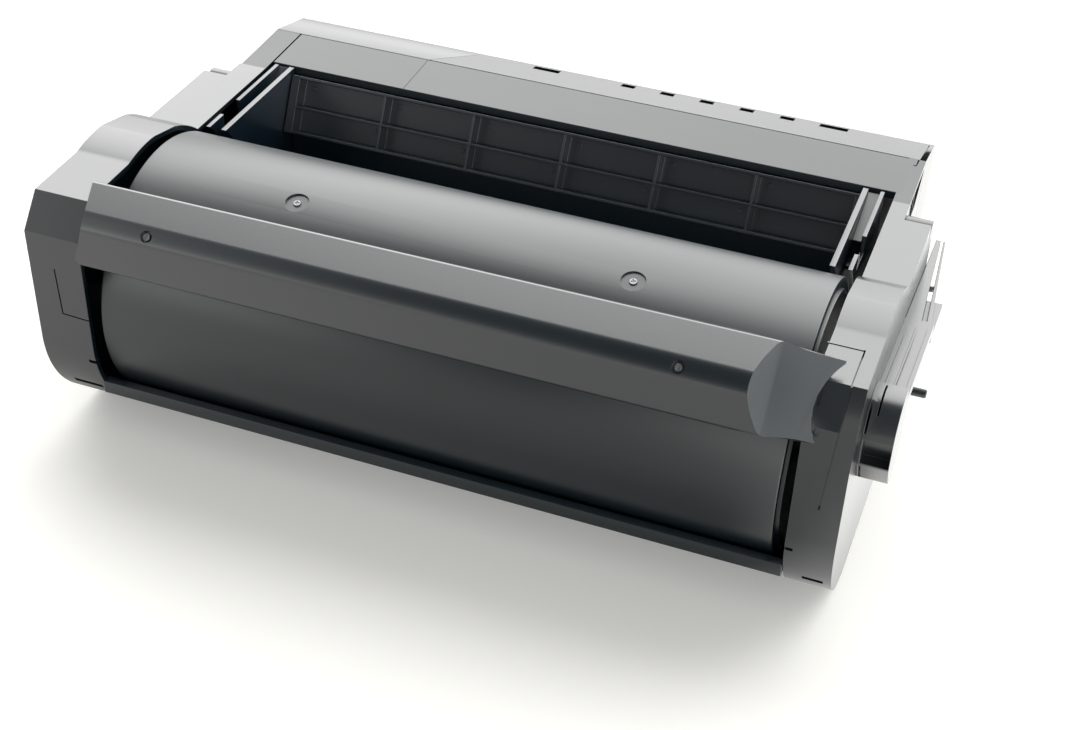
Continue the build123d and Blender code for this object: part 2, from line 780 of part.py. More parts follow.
def sleeve(axis, outer_radius, inner_radius, margin):
    """Sleeve of a roller between the side frames."""
    with BuildPart() as tube:
        with BuildSketch(section(drum_left_x + margin)):
            with Locations(axis):
                Circle(outer_radius)
                Circle(inner_radius, mode=Mode.SUBTRACT)
        extrude(amount=housing_length - 2 * margin)
    return tube.part


def bearing_pair(axis, bore_radius):
    """Two bearings of one roller, seated in the side frames."""
    with BuildPart() as pair:
        for wall_x in (left_wall_x, right_wall_x):
            with BuildSketch(section(wall_x - side_wall / 2)):
                with Locations(axis):
                    Circle(bearing_radius)
                    Circle(bore_radius + shaft_clearance, mode=Mode.SUBTRACT)
            extrude(amount=side_wall)
    return pair.part


def loose_gear(axis, teeth, phase, near_x, bore_radius):
    """Spur gear on a shaft or a post."""
    with BuildPart() as gear:
        with BuildSketch(section(near_x)):
            with Locations(axis):
                Polygon(*gear_points(teeth, phase), align=None)
                Circle(bore_radius, mode=Mode.SUBTRACT)
        extrude(amount=gear_width)
    return gear.part


save(sleeve(charge_axis, charge_radius, charge_shaft_radius, sleeve_end_gap), "charge_roller")
save(
    roller_shaft(
        charge_axis, charge_shaft_radius, left_wall_x - shaft_overhang, right_wall_x + shaft_overhang),
    "charge_shaft",
)
save(bearing_pair(charge_axis, charge_shaft_radius), "charge_bearings")

save(sleeve(developer_axis, developer_radius, developer_shaft_radius, sleeve_end_gap), "developer_sleeve")
save(
    roller_shaft(developer_axis, developer_shaft_radius, left_wall_x - shaft_overhang, right_gear_far_x),
    "developer_shaft",
)
save(bearing_pair(developer_axis, developer_shaft_radius), "developer_bearings")
save(
    loose_gear(
        developer_axis, developer_gear_teeth, developer_phase, right_gear_x, developer_shaft_radius),
    "developer_gear",
)

# Stirrer inside the hopper
agitator_left_x = cap_inner_x - agitator_bearing_depth
save(
    roller_shaft(hopper_axis, agitator_shaft_radius, agitator_left_x, right_gear_far_x),
    "agitator_shaft",
)
with BuildPart() as agitator_paddle:
    paddle_length = feed_length + paddle_overhang
    paddle_reach = hopper_radius - hopper_wall - paddle_tip_gap
    with BuildSketch(section(grid_centre_x - paddle_length / 2)):
        with Locations(hopper_axis):
            Circle(agitator_shaft_radius + paddle_hub_wall)
        with Locations((hopper_axis_y, hopper_axis_z + paddle_reach / 2)):
            Rectangle(paddle_thickness, paddle_reach)
        with Locations(hopper_axis):
            Circle(agitator_shaft_radius, mode=Mode.SUBTRACT)
    extrude(amount=paddle_length)
    window = paddle_length / paddle_windows
    window_height = paddle_reach * paddle_window_share
    with BuildSketch(Plane.XZ.offset(-hopper_axis_y - paddle_thickness)):
        for index in range(paddle_windows):
            x = grid_centre_x + (index - (paddle_windows - 1) / 2) * window
            with Locations((x, hopper_axis_z + window_height)):
                Rectangle(window - paddle_strut, window_height)
    extrude(amount=2 * paddle_thickness, mode=Mode.SUBTRACT)
save(agitator_paddle.part, "agitator_paddle")
save(
    loose_gear(
        hopper_axis, agitator_gear_teeth, agitator_phase, right_gear_x, agitator_shaft_radius),
    "agitator_gear",
)

# Idler between the developer and the stirrer, on a post in the drive-side cover
save(
    loose_gear(
        train_idler_axis, train_idler_teeth, train_idler_phase, right_gear_x,
        post_radius + shaft_clearance),
    "train_idler_gear",
)
save(
    roller_shaft(train_idler_axis, post_radius, right_gear_x - post_base, right_face_x - shell_wall),
    "train_idler_post",
)
save(
    loose_gear(
        waste_idler_axis, waste_idler_teeth, waste_idler_phase, left_gear_x,
        post_radius + shaft_clearance),
    "waste_idler_gear",
)
save(
    roller_shaft(
        waste_idler_axis, post_radius, left_face_x + narrow_left + shell_wall,
        left_gear_x + gear_width + post_base),
    "waste_idler_post",
)

# Waste auger: a core with slanted flights, in the bottom of the bin
with BuildPart() as waste_auger:
    auger_left_x = left_gear_x
    with BuildSketch(section(auger_left_x)):
        with Locations(auger_axis):
            Circle(auger_core_radius)
    extrude(amount=right_wall_x + side_wall / 2 - auger_left_x)
    flights = int((housing_length - 2 * flight_end_margin) / flight_pitch)
    for index in range(flights):
        x = grid_centre_x + (index - (flights - 1) / 2) * flight_pitch
        tilt = flight_tilt if index % 2 else -flight_tilt
        flight_plane = Plane(
            origin=(x, auger_axis[0], auger_axis[1]),
            x_dir=(0, 0, 1),
            z_dir=(cos(radians(tilt)), sin(radians(tilt)), 0),
        )
        with BuildSketch(flight_plane):
            Circle(auger_radius)
        extrude(amount=flight_thickness / 2, both=True)
save(waste_auger.part, "waste_auger")
save(
    loose_gear(auger_axis, waste_auger_teeth, auger_phase, left_gear_x, auger_core_radius),
    "waste_auger_gear",
)

# Cleaning blade on its steel bracket, behind the drum
blade_touch = polar_point(drum_axis, drum_radius + roller_gap, cleaner_angle)
blade_root = (bin_front_y - seat_gap - bracket_thickness, blade_touch[1] + cleaner_rise)
with BuildPart() as cleaning_blade:
    with BuildSketch(section(housing_left_x + cleaner_end_margin)):
        with BuildLine():
            Polyline(
                blade_touch, (blade_touch[0] + 1.6, blade_touch[1] - 0.4),
                (blade_root[0] + 0.2, blade_root[1] - 3.0), (blade_root[0] - 1.6, blade_root[1] - 2.2),
                close=True)
        make_face()
    extrude(amount=housing_length - 2 * cleaner_end_margin)
save(cleaning_blade.part, "cleaning_blade")
with BuildPart() as blade_bracket:
    bracket_back_y = bin_front_y - seat_gap
    bracket_low_z = blade_root[1] - shell_wall
    with BuildSketch(section(housing_left_x + bracket_end_margin)):
        with BuildLine():
            Polyline(
                (bracket_back_y, bracket_low_z), (bracket_back_y, bracket_low_z + bracket_height),
                (bracket_back_y - bracket_thickness, bracket_low_z + bracket_height),
                (bracket_back_y - bracket_thickness, blade_root[1] - 2.0),
                (blade_root[0] - 1.6, blade_root[1] - 2.1), (blade_root[0] + 0.2, blade_root[1] - 2.9),
                close=True)
        make_face()
    extrude(amount=housing_length - 2 * bracket_end_margin)
save(blade_bracket.part, "blade_bracket")


def cover_outline(wall, back_y, top_limit):
    """End cover's outline, drawn in by a wall thickness."""
    radius = nose_radius - wall
    front_y = nose_front_y + wall
    lean = wall * chamfer_lean
    arc_back_y = hopper_axis_y + sqrt(radius ** 2 - (deck_z - wall - hopper_axis_z) ** 2)
    crown_back = (arc_back_y, top_limit - wall)
    crown_front = (brow_back_y, hopper_axis_z + sqrt(radius ** 2 - (brow_back_y - hopper_axis_y) ** 2))
    crown_angle = (line_angle(hopper_axis, crown_back) + line_angle(hopper_axis, crown_front)) / 2
    with BuildSketch(Plane.XY) as outline:
        with BuildLine():
            nose = CenterArc(hopper_axis, radius, 180, 90)
            crown = ThreePointArc(crown_back, polar_point(hopper_axis, radius, crown_angle), crown_front)
            Polyline(
                nose @ 1, (hopper_axis_y + cover_heel_reach, cover_bottom_z + wall),
                (back_y - wall, cover_bottom_z + wall),
                (back_y - wall, top_limit - wall), crown @ 0)
            Polyline(
                crown @ 1, (chamfer_top_y + lean, brow_z - wall),
                (front_y, chamfer_bottom_z - lean), nose @ 0)
        make_face()
    return outline.sketch


def end_cover(outer_x, inner_x, narrow, name):
    """Moulded end cover: a deep nose and a narrower rear half, open towards the middle."""
    inward = 1 if inner_x > outer_x else -1
    step_x = outer_x + inward * narrow
    with BuildPart() as cover:
        with BuildSketch(section(outer_x)):
            add(cover_outline(0, notch_back_y, deck_z))
        extrude(amount=inner_x - outer_x)
        with BuildSketch(section(step_x)):
            with BuildLine():
                Polyline(
                    (notch_back_y - cover_overlap, cover_bottom_z), (cover_back_y, cover_bottom_z),
                    (cover_back_y, deck_z + strip_rise), (notch_back_y, deck_z),
                    (notch_back_y - cover_overlap, deck_z), close=True)
            make_face()
        extrude(amount=inner_x - step_x)
        if inward < 0:
            with BuildSketch(section(outer_x)):
                with BuildLine():
                    Polyline(
                        (notch_back_y - cover_overlap, cover_bottom_z), (gear_bulge_y, cover_bottom_z),
                        (gear_bulge_y, gear_bulge_z),
                        (notch_back_y - cover_overlap, gear_bulge_z + gear_bulge_rise), close=True)
                make_face()
            extrude(amount=inner_x - outer_x)
            with BuildSketch(section(outer_x)):
                with Locations(drum_axis):
                    Circle(drum_shaft_radius + shaft_boss_wall)
            extrude(amount=shaft_boss_height)
        pocket_x = outer_x + inward * shell_wall
        with BuildSketch(section(pocket_x)):
            add(cover_outline(shell_wall, notch_back_y, deck_z))
        extrude(amount=inner_x + inward - pocket_x, mode=Mode.SUBTRACT)
        rear_pocket_x = step_x + inward * shell_wall
        with BuildSketch(section(rear_pocket_x)):
            with BuildLine():
                Polyline(
                    (notch_back_y - pocket_overlap, tread_inner_z),
                    (cover_back_y - shell_wall, tread_inner_z),
                    (cover_back_y - shell_wall, deck_z + strip_rise - shell_wall),
                    (notch_back_y, deck_z - shell_wall),
                    (notch_back_y - pocket_overlap, deck_z - shell_wall), close=True)
            make_face()
        extrude(amount=inner_x + inward - rear_pocket_x, mode=Mode.SUBTRACT)
        if inward < 0:
            with BuildSketch(section(pocket_x)):
                with BuildLine():
                    Polyline(
                        (notch_back_y - pocket_overlap, tread_inner_z),
                        (gear_bulge_y - shell_wall, tread_inner_z),
                        (gear_bulge_y - shell_wall, gear_bulge_z - shell_wall),
                        (notch_back_y - pocket_overlap, gear_bulge_z + gear_bulge_rise / 2), close=True)
                make_face()
            extrude(amount=inner_x + inward - pocket_x, mode=Mode.SUBTRACT)
            with BuildSketch(section(outer_x + 2 * shell_wall)):
                with Locations(drum_axis):
                    Circle(drum_shaft_radius + shaft_clearance)
            extrude(amount=-4 * shell_wall, mode=Mode.SUBTRACT)
        if inward > 0:
            with BuildSketch(section(pocket_x)):
                with Locations(hopper_axis):
                    Circle(trunnion_radius + seat_gap + socket_wall)
                    Circle(trunnion_radius + seat_gap, mode=Mode.SUBTRACT)
            extrude(amount=socket_depth)
            with BuildSketch(section(pocket_x)):
                with Locations(hopper_axis):
                    Circle(trunnion_radius - trunnion_wall)
            extrude(amount=left_trunnion_x - seat_gap - pocket_x)
            with BuildSketch(section(pocket_x)):
                with Locations(drum_axis):
                    Circle(drum_shaft_radius + shaft_boss_wall)
            extrude(amount=left_gear_x - seat_gap - pocket_x)
            with BuildSketch(section(shaft_left_x - seat_gap)):
                with Locations(drum_axis):
                    Circle(drum_shaft_radius + shaft_clearance)
            extrude(amount=shaft_bore_depth, mode=Mode.SUBTRACT)
        with BuildSketch(section(outer_x)):
            with Locations(((deck_back_y + notch_back_y) / 2, deck_z)):
                Rectangle(notch_back_y - deck_back_y, 2 * (deck_z - notch_floor_z), mode=Mode.ADD)
        extrude(amount=inward * notch_depth, mode=Mode.SUBTRACT)
        with BuildSketch(section(outer_x)):
            with BuildLine():
                Polyline(
                    (deck_back_y - shell_wall, notch_floor_z), (notch_back_y, notch_floor_z),
                    (notch_back_y, notch_floor_z - shell_wall),
                    (deck_back_y - shell_wall, notch_floor_z - shell_wall), close=True)
            make_face()
            with BuildLine():
                Polyline(
                    (deck_back_y - shell_wall, notch_floor_z), (deck_back_y, notch_floor_z),
                    (deck_back_y, deck_z - shell_wall), (deck_back_y - shell_wall, deck_z - shell_wall),
                    close=True)
            make_face()
        extrude(amount=inward * (notch_depth + shell_wall))
        with BuildSketch(section(outer_x)):
            with Locations(((deck_back_y + notch_back_y) / 2, notch_floor_z + boss_lift)):
                Circle(boss_radius)
        extrude(amount=inward * notch_depth)
        if inward < 0:
            with BuildSketch(section(strip_right_x + seat_gap)):
                with Locations(((strip_front_y + strip_back_y) / 2, deck_z)):
                    Rectangle(strip_back_y - strip_front_y + 2 * seat_gap, 2 * strip_seat_depth)
            extrude(amount=-cover_overlap, mode=Mode.SUBTRACT)
    save(cover.part, name)


end_cover(left_face_x, left_inner_x, narrow_left, "left_end_cover")
end_cover(right_face_x, right_inner_x, narrow_right, "right_end_cover")

# Plate that closes the gear train in and holds the hopper's drive-side trunnion
with BuildPart() as drive_plate:
    with BuildSketch(section(right_inner_x)):
        add(cover_outline(shell_wall + seat_gap, notch_back_y, deck_z))
        with Locations(hopper_axis):
            Circle(trunnion_radius + seat_gap, mode=Mode.SUBTRACT)
        with Locations(drum_axis):
            Circle(bush_radius, mode=Mode.SUBTRACT)
        with Locations(developer_axis):
            Circle(developer_shaft_radius + 0.5, mode=Mode.SUBTRACT)
        with Locations(((deck_back_y + notch_back_y) / 2, deck_z)):
            Rectangle(
                notch_back_y - deck_back_y + brow_plate_gap, 2 * (deck_z - notch_floor_z) + brow_plate_gap,
                mode=Mode.SUBTRACT)
    extrude(amount=drive_plate_thickness)
save(drive_plate.part, "drive_plate")

# Feet under the end covers
with BuildPart() as feet:
    for x in (left_inner_x - foot_width - foot_inset_left, right_inner_x + foot_width + foot_inset_right):
        for y in (hopper_axis_y + foot_front_reach, cover_back_y - foot_depth):
            with BuildSketch():
                with Locations((x, y)):
                    Rectangle(foot_width, foot_depth)
            extrude(amount=foot_height)
save(feet.part, "feet")

# Top strip over the waste bin
strip_top_z = deck_z + strip_rise
strip_front_z = deck_z + strip_rise * (strip_front_y - notch_back_y) / (strip_back_y - notch_back_y)
with BuildPart() as rear_top_cover:
    with BuildSketch(section(strip_left_x)):
        with BuildLine():
            Polyline(
                (strip_front_y, strip_front_z), (strip_back_y, strip_top_z),
                (strip_back_y, strip_top_z - strip_back_skirt),
                (strip_back_y - strip_thickness, strip_top_z - strip_back_skirt),
                (strip_back_y - strip_thickness, strip_top_z - strip_thickness),
                (strip_front_y + strip_thickness, strip_front_z - strip_thickness),
                (strip_front_y + strip_thickness, deck_z - strip_front_skirt),
                (strip_front_y, deck_z - strip_front_skirt),
                close=True)
        make_face()
    extrude(amount=strip_right_x - strip_left_x)
save(rear_top_cover.part, "rear_top_cover")

# Rear cover: the slotted slope, the round corner and the back wall
rear_left_x = left_face_x + narrow_left
rear_right_x = right_face_x - narrow_right
slope_z = deck_z - slope_drop
with BuildPart() as rear_cover:
    with BuildSketch(section(rear_left_x)):
        with BuildLine():
            slope = Line((strip_back_y + seat_gap, strip_top_z), (rear_face_y - rear_corner_radius, slope_z))
            bend = ThreePointArc(
                slope @ 1,
                (rear_face_y - corner_share * rear_corner_radius, slope_z - corner_sag * rear_corner_radius),
                (rear_face_y, slope_z - rear_corner_radius))
            wall = Line(bend @ 1, (rear_face_y, cover_bottom_z))
            foot = Line(wall @ 1, (rear_face_y - shell_wall, cover_bottom_z))
            inner = Line(foot @ 1, (rear_face_y - shell_wall, slope_z - rear_corner_radius))
            inner_bend = ThreePointArc(
                inner @ 1,
                (rear_face_y - shell_wall - corner_share * rear_corner_radius,
                 slope_z - shell_wall - corner_sag * rear_corner_radius),
                (rear_face_y - shell_wall - rear_corner_radius, slope_z - shell_wall + seat_gap))
            ceiling = Line(inner_bend @ 1, (strip_back_y + seat_gap, strip_top_z - shell_wall))
            Line(ceiling @ 1, slope @ 0)
        make_face()
    extrude(amount=rear_right_x - rear_left_x)
    for x in (rear_left_x, rear_right_x - shell_wall):
        with BuildSketch(section(x)):
            with BuildLine():
                Polyline(
                    (strip_back_y + seat_gap, deck_z - rear_end_inset),
                    (rear_face_y - rear_corner_radius, slope_z - rear_end_inset),
                    (rear_face_y - rear_end_inset, slope_z - rear_corner_radius),
                    (rear_face_y - rear_end_inset, cover_bottom_z),
                    (cover_back_y + seat_gap, cover_bottom_z),
                    (cover_back_y + seat_gap, deck_z - rear_end_drop),
                    close=True)
            make_face()
        extrude(amount=shell_wall)
    slots = [(slot_first_x + index * slot_pitch, slot_length) for index in range(slot_count)]
    slots.append((slots[0][0] - wide_slot_left_gap, wide_slot_length))
    slots.append((slots[slot_count - 1][0] + wide_slot_gap, wide_slot_length))
    for x, length in slots:
        with BuildSketch(Plane.XY.offset(strip_top_z)):
            with Locations((x, strip_back_y + slot_inset)):
                Rectangle(length, slot_width)
        extrude(amount=-4 * shell_wall, mode=Mode.SUBTRACT)
save(rear_cover.part, "rear_cover")

# Handle bar: a hollow roof moulding whose drive-side end is scooped down to two tips
handle_length = hypot(handle_reach, handle_drop)
down_bar = (-handle_reach / handle_length, -handle_drop / handle_length)
off_bar = (-handle_drop / handle_length, handle_reach / handle_length)


ridge_along = ridge_reach * -down_bar[0] + ridge_drop * -down_bar[1]
ridge_lift = ridge_reach * -off_bar[0] - ridge_drop * off_bar[1]
ridge_point = polar_point(hopper_axis, hopper_radius + handle_standoff, handle_angle)


def bar_point(along, lift):
    """Point of the handle's section: along the bar's back from its top edge, lifted off it."""
    return (
        ridge_point[0] + (along - ridge_along) * down_bar[0] + (lift - ridge_lift) * off_bar[0],
        ridge_point[1] + (along - ridge_along) * down_bar[1] + (lift - ridge_lift) * off_bar[1],
    )


with BuildPart() as front_handle:
    with BuildSketch(section(handle_left_x)) as bar_face:
        with BuildLine():
            Polyline(
                bar_point(0, -handle_edge), bar_point(0, 0), bar_point(ridge_along, ridge_lift),
                bar_point(handle_length, 0), bar_point(handle_length, -handle_edge), close=True)
        make_face()
        ridge = bar_face.vertices().sort_by_distance((*bar_point(ridge_along, 99), 0))[0]
        fillet(ridge, ridge_round)
    extrude(amount=handle_tip_x - handle_left_x)
    with BuildSketch(section(handle_left_x + handle_wall)):
        with BuildLine():
            Polyline(
                bar_point(handle_lip, -2 * handle_edge), bar_point(handle_lip, handle_lip_depth),
                bar_point(ridge_along, ridge_lift - 2 * handle_wall),
                bar_point(handle_length - handle_lip, handle_lip_depth),
                bar_point(handle_length - handle_lip, -2 * handle_edge), close=True)
        make_face()
    extrude(amount=scoop_ridge_x - scoop_end_wall - handle_left_x - handle_wall, mode=Mode.SUBTRACT)
    scoop_plane = Plane(
        origin=(0, *bar_point(-tool_overhang, 0)),
        x_dir=(1, 0, 0),
        z_dir=(0, *down_bar),
    )
    with BuildSketch(scoop_plane):
        with BuildLine():
            scoop = ThreePointArc(
                (scoop_ridge_x, -ridge_lift), (scoop_edge_x, -0.3), (handle_tip_x + 1, handle_edge - 1.6))
            Polyline(
                scoop @ 1, (handle_tip_x + 1, -2 * ridge_lift),
                (scoop_ridge_x - 6, -2 * ridge_lift), scoop @ 0)
        make_face()
    extrude(amount=handle_length + 2 * tool_overhang, mode=Mode.SUBTRACT)
    tip_plane = Plane(
        origin=(0, *bar_point(0, 0)),
        x_dir=(1, 0, 0),
        z_dir=(0, *off_bar),
    )
    with BuildSketch(tip_plane.offset(-tool_overhang / 2)):
        with BuildLine():
            bite = ThreePointArc(
                (handle_tip_x, 1), (notch_middle_x, -handle_length * bite_share),
                (handle_tip_x - tip_setback, -handle_length - 1))
            Polyline(
                bite @ 1, (right_face_x + handle_overreach, -handle_length - 1),
                (right_face_x + handle_overreach, 1), bite @ 0)
        make_face()
    extrude(amount=2 * tool_overhang, mode=Mode.SUBTRACT)
    ridge_radius = hopper_radius + handle_standoff
    for x in handle_screw_x:
        with BuildSketch(radial_plane(x, handle_angle, hopper_radius + seat_gap)):
            Circle(handle_post_radius)
        extrude(amount=handle_standoff - handle_screw_well)
        with BuildSketch(radial_plane(x, handle_angle, ridge_radius - handle_screw_well)):
            Circle(handle_screw_head_radius + seat_gap)
        extrude(amount=2 * handle_screw_well, mode=Mode.SUBTRACT)
        with BuildSketch(radial_plane(x, handle_angle, ridge_radius)):
            Circle(handle_screw_radius + shaft_clearance)
        extrude(amount=-handle_standoff, mode=Mode.SUBTRACT)
save(front_handle.part, "front_handle")

# Screws that hold the handle bar to the hopper
with BuildPart() as handle_screws:
    for x in handle_screw_x:
        with BuildSketch(radial_plane(x, handle_angle, ridge_radius - handle_screw_well)):
            Circle(handle_screw_head_radius)
        extrude(amount=handle_screw_head_height)
        with BuildSketch(radial_plane(x, handle_angle, ridge_radius - handle_screw_well)):
            Circle(handle_screw_radius)
        extrude(amount=seat_gap + handle_screw_well - handle_standoff)
        head_radius = ridge_radius - handle_screw_well + handle_screw_head_height
        with BuildSketch(radial_plane(x, handle_angle, head_radius)):
            Rectangle(handle_screw_cross, screw_cross_width)
            Rectangle(screw_cross_width, handle_screw_cross)
        extrude(amount=-handle_screw_head_height / 2, mode=Mode.SUBTRACT)
save(handle_screws.part, "handle_screws")

# Guide rail moulding on the drive side
with BuildPart() as guide_rail:
    with BuildSketch(section(right_face_x)):
        with BuildLine():
            Polyline(*rail_outline, close=True)
        make_face()
    extrude(amount=rail_depth)
save(guide_rail.part, "guide_rail")
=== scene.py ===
import json
import math

import bmesh
import bpy
from mathutils import Matrix, Vector


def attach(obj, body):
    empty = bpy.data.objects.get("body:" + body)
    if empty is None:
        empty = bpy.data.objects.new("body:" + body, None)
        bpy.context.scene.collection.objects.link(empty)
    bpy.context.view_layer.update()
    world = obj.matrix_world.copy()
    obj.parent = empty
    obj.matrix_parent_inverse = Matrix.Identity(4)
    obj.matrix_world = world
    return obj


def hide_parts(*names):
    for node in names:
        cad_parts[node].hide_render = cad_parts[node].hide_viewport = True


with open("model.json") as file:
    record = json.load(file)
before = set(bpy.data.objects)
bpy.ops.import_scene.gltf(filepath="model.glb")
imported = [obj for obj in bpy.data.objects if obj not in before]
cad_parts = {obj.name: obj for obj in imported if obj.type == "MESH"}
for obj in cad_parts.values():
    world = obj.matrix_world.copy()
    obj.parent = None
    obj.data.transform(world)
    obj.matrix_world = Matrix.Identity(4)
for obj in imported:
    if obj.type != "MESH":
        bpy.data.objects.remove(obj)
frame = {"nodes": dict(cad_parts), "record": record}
nodes = frame["nodes"]
scene = bpy.context.scene
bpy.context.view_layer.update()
print("frame loaded,", len(nodes), "CAD nodes")

# The camera stands where the photograph was taken from
camera = {
    "place": (0.21233, -0.59238, 0.48025),
    "right": (0.93620, 0.34995, 0.03262),
    "up": (-0.23421, 0.55195, 0.80031),
    "lens": 57.35,
}


def placeCamera():
    eye = bpy.data.cameras.new("camera")
    eye.lens = camera["lens"]
    eye.sensor_width = 36.0
    holder = bpy.data.objects.new("camera", eye)
    right = Vector(camera["right"]).normalized()
    up = Vector(camera["up"])
    back = right.cross(up).normalized()
    up = back.cross(right)
    turn = Matrix((right, up, back)).transposed().to_4x4()
    holder.matrix_world = Matrix.Translation(camera["place"]) @ turn
    scene.collection.objects.link(holder)
    scene.camera = holder


placeCamera()
print("camera placed")

# Shapes are drawn in millimetres, and each finished mesh is brought to metres once
shape = {
    "axis": (-53.0, 61.0),
    "drumAxis": (36.0, 20.0),
    "arcSteps": 48,
}


def vertsIn(items):
    return [item for item in items if isinstance(item, bmesh.types.BMVert)]


def sideOutline(bm, x, corners):
    # Corners run round the side view; a corner with a centre and an angle is an arc from the last one
    first = last = bm.verts.new((x, *corners[0]))
    for corner in corners[1:]:
        if len(corner) == 2:
            here = bm.verts.new((x, *corner))
            bm.edges.new((last, here))
        else:
            centreY, centreZ, turn = corner
            steps = max(3, int(abs(turn) / 90 * shape["arcSteps"]))
            spun = bmesh.ops.spin(bm, geom=[last], cent=(x, centreY, centreZ), axis=(1, 0, 0),
                                  angle=math.radians(turn), steps=steps, use_merge=False)
            here = vertsIn(spun["geom_last"])[0]
        last = here
    bm.edges.new((last, first))
    bm.edges.ensure_lookup_table()
    return bmesh.ops.contextual_create(bm, geom=bm.edges[:])["faces"]


def pull(bm, faces, step):
    grown = bmesh.ops.extrude_face_region(bm, geom=faces)["geom"]
    bmesh.ops.translate(bm, verts=vertsIn(grown), vec=step)


def prism(corners, step):
    # A solid pulled from one flat face
    bm = bmesh.new()
    face = bm.faces.new([bm.verts.new(corner) for corner in corners])
    pull(bm, [face], step)
    bmesh.ops.recalc_face_normals(bm, faces=bm.faces)
    return bm


def barAlong(corners, fromX, toX):
    # A solid of one side view from one X to another
    bm = bmesh.new()
    faces = sideOutline(bm, fromX, corners)
    pull(bm, faces, (toX - fromX, 0, 0))
    bmesh.ops.recalc_face_normals(bm, faces=bm.faces)
    return bm


def block(low, high):
    bm = bmesh.new()
    middle = [(a + b) / 2 for a, b in zip(low, high)]
    size = [b - a for a, b in zip(low, high)]
    bmesh.ops.create_cube(bm, size=1.0)
    bmesh.ops.scale(bm, vec=size, verts=bm.verts)
    bmesh.ops.translate(bm, vec=middle, verts=bm.verts)
    return bm


def rod(centre, direction, radius, depth, steps, tip=None):
    # A round rod whose middle is at the centre, and whose outer end can have another radius
    bm = bmesh.new()
    bmesh.ops.create_cone(bm, cap_ends=True, segments=steps, radius1=radius,
                          radius2=radius if tip is None else tip, depth=depth)
    turn = Vector((0, 0, 1)).rotation_difference(Vector(direction)).to_matrix().to_4x4()
    bmesh.ops.transform(bm, matrix=Matrix.Translation(centre) @ turn, verts=bm.verts)
    return bm


def turned(profile, centre, steps):
    # A closed outline of (x, radius) corners, spun about an axis along X
    bm = bmesh.new()
    corners = [bm.verts.new((x, centre[0], centre[1] + radius)) for x, radius in profile]
    edges = [bm.edges.new((corners[i], corners[(i + 1) % len(corners)])) for i in range(len(corners))]
    bmesh.ops.spin(bm, geom=corners + edges, cent=(0, *centre), axis=(1, 0, 0), angle=math.tau,
                   steps=steps, use_merge=True)
    bmesh.ops.remove_doubles(bm, verts=bm.verts, dist=0.0005)
    bmesh.ops.recalc_face_normals(bm, faces=bm.faces)
    return bm


def holding(bm, name):
    mesh = bpy.data.meshes.new(name)
    bm.to_mesh(mesh)
    bm.free()
    holder = bpy.data.objects.new(name, mesh)
    scene.collection.objects.link(holder)
    return holder


def carve(solid, tools, operation="DIFFERENCE"):
    # Cuts the tools out of a solid, or joins them to it, and gives a new bmesh
    holder = holding(solid, "blank")
    helpers = [holding(tool, "tool") for tool in tools]
    for helper in helpers:
        step = holder.modifiers.new("carve", "BOOLEAN")
        step.operation = operation
        step.solver = "EXACT"
        step.object = helper
    depsgraph = bpy.context.evaluated_depsgraph_get()
    done = bmesh.new()
    done.from_mesh(holder.evaluated_get(depsgraph).to_mesh())
    for helper in [holder, *helpers]:
        mesh = helper.data
        bpy.data.objects.remove(helper)
        bpy.data.meshes.remove(mesh)
    bmesh.ops.remove_doubles(done, verts=done.verts, dist=0.0005)
    bmesh.ops.dissolve_limit(done, angle_limit=math.radians(0.2), verts=done.verts, edges=done.edges)
    return done


def softened(bm, width, sharp=25):
    # Rounds the sharp edges of a solid before fine seams are cut into it
    edges = [edge for edge in bm.edges
             if edge.is_manifold and edge.calc_face_angle(0.0) > math.radians(sharp)]
    bmesh.ops.bevel(bm, geom=edges, offset=width, segments=3, affect="EDGES", profile=0.5, material=-1,
                    clamp_overlap=True, offset_type="OFFSET")
    return bm


def seam(start, end, width, depth, up):
    # A thin bar that cuts a seam along a line on a surface whose outward direction is given
    bm = bmesh.new()
    along = Vector(end) - Vector(start)
    bmesh.ops.create_cube(bm, size=1.0)
    bmesh.ops.scale(bm, vec=(along.length, width, 2 * depth), verts=bm.verts)
    across = Vector(up).cross(along).normalized()
    top = along.cross(across).normalized()
    turn = Matrix((along.normalized(), across, top)).transposed().to_4x4()
    middle = (Vector(start) + Vector(end)) / 2
    bmesh.ops.transform(bm, matrix=Matrix.Translation(middle) @ turn, verts=bm.verts)
    return bm


def joined(*parts):
    # Separate shells of one piece
    bm = bmesh.new()
    for part in parts:
        mesh = bpy.data.meshes.new("part")
        part.to_mesh(mesh)
        part.free()
        bm.from_mesh(mesh)
        bpy.data.meshes.remove(mesh)
    return bm


def finishPiece(name, bm, material, replaced=(), body="housing", soft=0.4, steps=3, sharp=32):
    bmesh.ops.recalc_face_normals(bm, faces=bm.faces)
    bmesh.ops.scale(bm, vec=(0.001, 0.001, 0.001), verts=bm.verts)
    mesh = bpy.data.meshes.new(name)
    bm.to_mesh(mesh)
    bm.free()
    mesh.shade_smooth()
    piece = bpy.data.objects.new(name, mesh)
    scene.collection.objects.link(piece)
    mesh.materials.append(material)
    if soft:
        edge = piece.modifiers.new("softEdges", "BEVEL")
        edge.width = soft / 1000
        edge.segments = steps
        edge.limit_method = "ANGLE"
        edge.angle_limit = math.radians(sharp)
        edge.harden_normals = True
        edge.miter_outer = "MITER_ARC"
        edge.use_clamp_overlap = True
    else:
        mesh.set_sharp_from_angle(angle=math.radians(sharp))
        even = piece.modifiers.new("evenNormals", "WEIGHTED_NORMAL")
        even.keep_sharp = True
        even.weight = 80
    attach(piece, body)
    if replaced:
        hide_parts(*replaced)
    return piece


def dressFaces(piece, material, chosen):
    # Gives the chosen faces of a piece a second material: a duller finish, painted light or painted shade
    piece.data.materials.append(material)
    for face in piece.data.polygons:
        if chosen(face):
            face.material_index = 1


